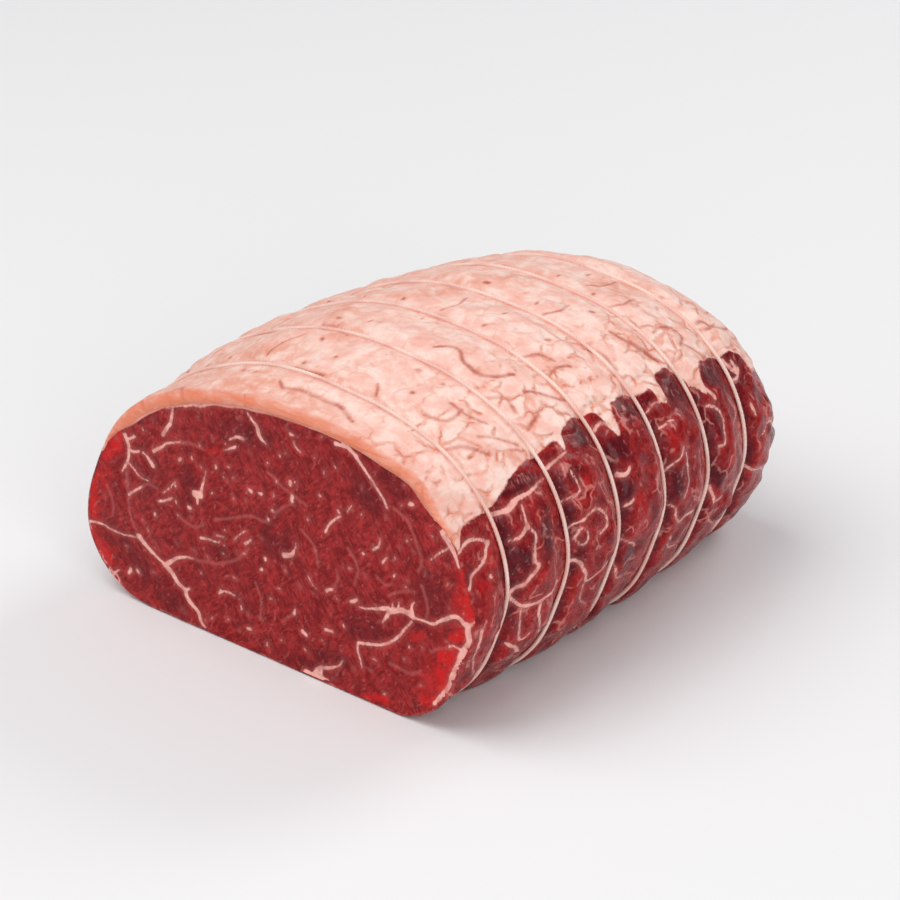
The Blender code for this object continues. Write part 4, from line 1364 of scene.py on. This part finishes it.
def twine_material(colours):
    """Damp cotton with painted shade between its strands, stained by the meat in places."""
    material, tree, shader = new_material("damp_string")
    fibres = grain(tree, 0.28, 3.0, 0.6)
    colour = blend(tree, blotches(tree, 12.0, 0.40, 0.62), colours.string_pale, colours.string_stained)
    colour = tint(tree, colour, colours.string_stained, ramp(tree, fibres, 0.35, 0.65), 0.25)
    # Painted shade in the grooves between the strands
    lobes = maths(tree, "ABSOLUTE", maths(tree, "COSINE", times(tree, mark(tree, "turn"), TWINE_STRANDS / 2)))
    colour = blend(tree, ramp(tree, lobes, 0.0, 0.45, 0.45, 0.0), colour, colours.string_groove_shade)
    tree.links.new(colour, shader.inputs["Base Color"])
    tree.links.new(ramp(tree, fibres, 0.3, 0.7, 0.42, 0.62), shader.inputs["Roughness"])
    raise_surface(tree, shader, times(tree, fibres, 0.08))
    set_shader(shader, Subsurface_Weight=0.10, Subsurface_Radius=(1.0, 0.5, 0.4), Subsurface_Scale=MM)
    return material


def floor_material(colours):
    material, _, shader = new_material("pale_floor")
    set_shader(shader, Base_Color=(*colours.floor, 1.0), Roughness=0.6, Specular_IOR_Level=0.2)
    return material


# Properties, operators and panel

def length_property(name, description, millimetres):
    return bpy.props.FloatProperty(name=name, description=description, default=millimetres * MM,
                                   unit="LENGTH", subtype="DISTANCE", precision=5)


def colour_property(name, description, red, green, blue):
    return bpy.props.FloatVectorProperty(name=name, description=description, default=(red, green, blue),
                                         size=3, min=0.0, max=1.0, subtype="COLOR")


class RoastSizes(bpy.types.PropertyGroup):
    string_diameter: length_property("String", "Diameter of the string", 1.05)
    string_lay: length_property("Lay", "Length of one turn of the string's strands", 3.4)
    face_detail: length_property("Face detail", "Spacing of the points on the cut face", 0.56)
    side_detail: length_property("Side detail", "Spacing of the points on the bare sides", 0.66)
    fat_detail: length_property("Fat detail", "Spacing of the points on the fat", 0.50)


class RoastColours(bpy.types.PropertyGroup):
    meat_deep: colour_property("Deep red", "Darker fibres of the meat", 0.185, 0.005, 0.007)
    meat_light: colour_property("Light red", "Lighter fibres of the meat", 0.440, 0.028, 0.029)
    meat_bright: colour_property("Bright red", "Clear red patches", 0.600, 0.010, 0.010)
    # Also painted shade in the hollows behind the strings
    meat_dark: colour_property("Dark red", "Hollows and dark muscle", 0.080, 0.005, 0.010)
    # Also painted sheen in a band just before each string
    film: colour_property("Film", "Thin pale membrane over the meat", 0.60, 0.20, 0.19)
    seam: colour_property("Seam", "Fat and tendon in the meat", 0.97, 0.56, 0.50)
    seam_warm: colour_property("Warm seam", "Warmer parts of the seams", 0.88, 0.36, 0.30)
    trace: colour_property("Trace", "Faint marbling", 0.50, 0.13, 0.12)
    fat_cream: colour_property("Cream fat", "Palest fat", 0.93, 0.68, 0.60)
    fat_pink: colour_property("Pink fat", "Warmer fat", 0.88, 0.50, 0.42)
    # Also painted shade in the creases beside the strings on the fat
    fat_crack_and_shade: colour_property("Cracks", "Cracks and tanned fat", 0.76, 0.29, 0.19)
    fat_cut: colour_property("Cut fat", "Fat where the face is cut", 0.80, 0.225, 0.12)
    # Also a line of painted shade along the crease behind the first string
    vein_and_shade: colour_property("Vein", "Veins and spots in the fat", 0.45, 0.10, 0.07)
    string_pale: colour_property("Pale string", "Clean cotton", 0.93, 0.70, 0.62)
    string_stained: colour_property("Stained string", "Cotton stained by the meat", 0.84, 0.50, 0.43)
    # Painted shade between the string's strands
    string_groove_shade: colour_property("String groove", "Between the string's strands", 0.66, 0.36, 0.31)
    floor: colour_property("Floor", "Plain pale floor", 0.85, 0.85, 0.86)


def finished(piece):
    """What an operator reports: an error when its piece came out empty."""
    if len(piece.data.polygons) == 0:
        raise RuntimeError(f"{piece.name} has no faces")
    return {"FINISHED"}


def shared_groups():
    """The node groups, made the first time and found again after that."""
    if "drawn_edge" not in bpy.data.node_groups:
        return drawn_edge_group(), fibre_group(), fat_skin_group()
    return [bpy.data.node_groups[name] for name in ("drawn_edge", "muscle_fibre", "fat_skin")]


class ROAST_OT_meat(bpy.types.Operator):
    """Model the marbled meat with its cut face and bulging sides"""
    bl_idname = "roast.meat"
    bl_label = "Meat"

    def execute(self, context):
        meat = make_meat(context.scene.roast_sizes)
        material = flesh_material("raw_beef", context.scene.roast_colours, shared_groups(), fat=False)
        finish_piece(meat, material, "meat")
        return finished(meat)


class ROAST_OT_fat(bpy.types.Operator):
    """Model the fat over the top of the roast, with its cut edges and veins"""
    bl_idname = "roast.fat"
    bl_label = "Fat cap"

    def execute(self, context):
        fat = make_fat(context.scene.roast_sizes)
        material = flesh_material("beef_fat", context.scene.roast_colours, shared_groups(), fat=True)
        finish_piece(fat, material, "fat_cap")
        return finished(fat)


class ROAST_OT_strings(bpy.types.Operator):
    """Model the six loops of twisted string"""
    bl_idname = "roast.strings"
    bl_label = "Strings"

    def execute(self, context):
        material = twine_material(context.scene.roast_colours)
        for index, y in enumerate(LOOP_PLACES, start=1):
            loop = make_string(index, y, context.scene.roast_sizes)
            finish_piece(loop, material, f"string_{index}")
        return finished(loop)


def aim(thing, place_at, target):
    """Moves a camera or light and turns it to a point."""
    thing.location = place_at
    thing.rotation_euler = (Vector(target) - Vector(place_at)).to_track_quat("-Z", "Y").to_euler()


class ROAST_OT_stage(bpy.types.Operator):
    """Set up the floor, the soft light and the camera"""
    bl_idname = "roast.stage"
    bl_label = "Stage"

    def execute(self, context):
        scene = context.scene
        clear_selection()
        bpy.ops.mesh.primitive_plane_add(size=FLOOR_SIZE)
        floor = context.object
        floor.name = "floor"
        floor.data.materials.append(floor_material(scene.roast_colours))
        data = bpy.data.cameras.new("camera")
        data.lens, data.sensor_width, data.clip_start = CAMERA_LENS, 36.0, 0.01
        camera = bpy.data.objects.new("camera", data)
        scene.collection.objects.link(camera)
        turn, rise = math.radians(CAMERA_TURN), math.radians(CAMERA_RISE)
        back = Vector((math.sin(turn) * math.cos(rise), -math.cos(turn) * math.cos(rise), math.sin(rise)))
        at = Vector(CAMERA_PLACE) * MM - Vector((0.0, CAMERA_OFFSET * MM, 0.0))
        aim(camera, at, at - back)
        scene.camera = camera
        for name, energy, size, spot, colour in LIGHTS:
            lamp = bpy.data.lights.new(name, "AREA")
            lamp.energy, lamp.size, lamp.color = energy, size, colour
            light = bpy.data.objects.new(name, lamp)
            scene.collection.objects.link(light)
            aim(light, spot, (0.0, 0.0, 0.03))
        world = bpy.data.worlds.new("studio")
        scene.world = world
        world.use_nodes = True
        back_light = world.node_tree.nodes["Background"]
        back_light.inputs["Color"].default_value = (0.97, 0.98, 1.0, 1.0)
        back_light.inputs["Strength"].default_value = WORLD_STRENGTH
        scene.view_settings.view_transform = "Standard"
        return {"FINISHED"}


class ROAST_PT_panel(bpy.types.Panel):
    """Lists the operators that build the roast"""
    bl_label = "Tied beef roast"
    bl_idname = "ROAST_PT_panel"
    bl_space_type = "VIEW_3D"
    bl_region_type = "UI"
    bl_category = "Roast"

    def draw(self, context):
        for operator in OPERATORS:
            self.layout.operator(operator.bl_idname)
        for settings in (context.scene.roast_sizes, context.scene.roast_colours):
            for name in settings.__annotations__:
                self.layout.prop(settings, name)


OPERATORS = (ROAST_OT_meat, ROAST_OT_fat, ROAST_OT_strings, ROAST_OT_stage)
CLASSES = (RoastSizes, RoastColours, *OPERATORS, ROAST_PT_panel)


def register():
    for item in CLASSES:
        bpy.utils.register_class(item)
    bpy.types.Scene.roast_sizes = bpy.props.PointerProperty(type=RoastSizes)
    bpy.types.Scene.roast_colours = bpy.props.PointerProperty(type=RoastColours)


def unregister():
    del bpy.types.Scene.roast_colours
    del bpy.types.Scene.roast_sizes
    for item in reversed(CLASSES):
        bpy.utils.unregister_class(item)


def main():
    register()
    bpy.ops.roast.meat()
    bpy.ops.roast.fat()
    bpy.ops.roast.strings()
    bpy.ops.roast.stage()


if __name__ == "__main__":
    main()
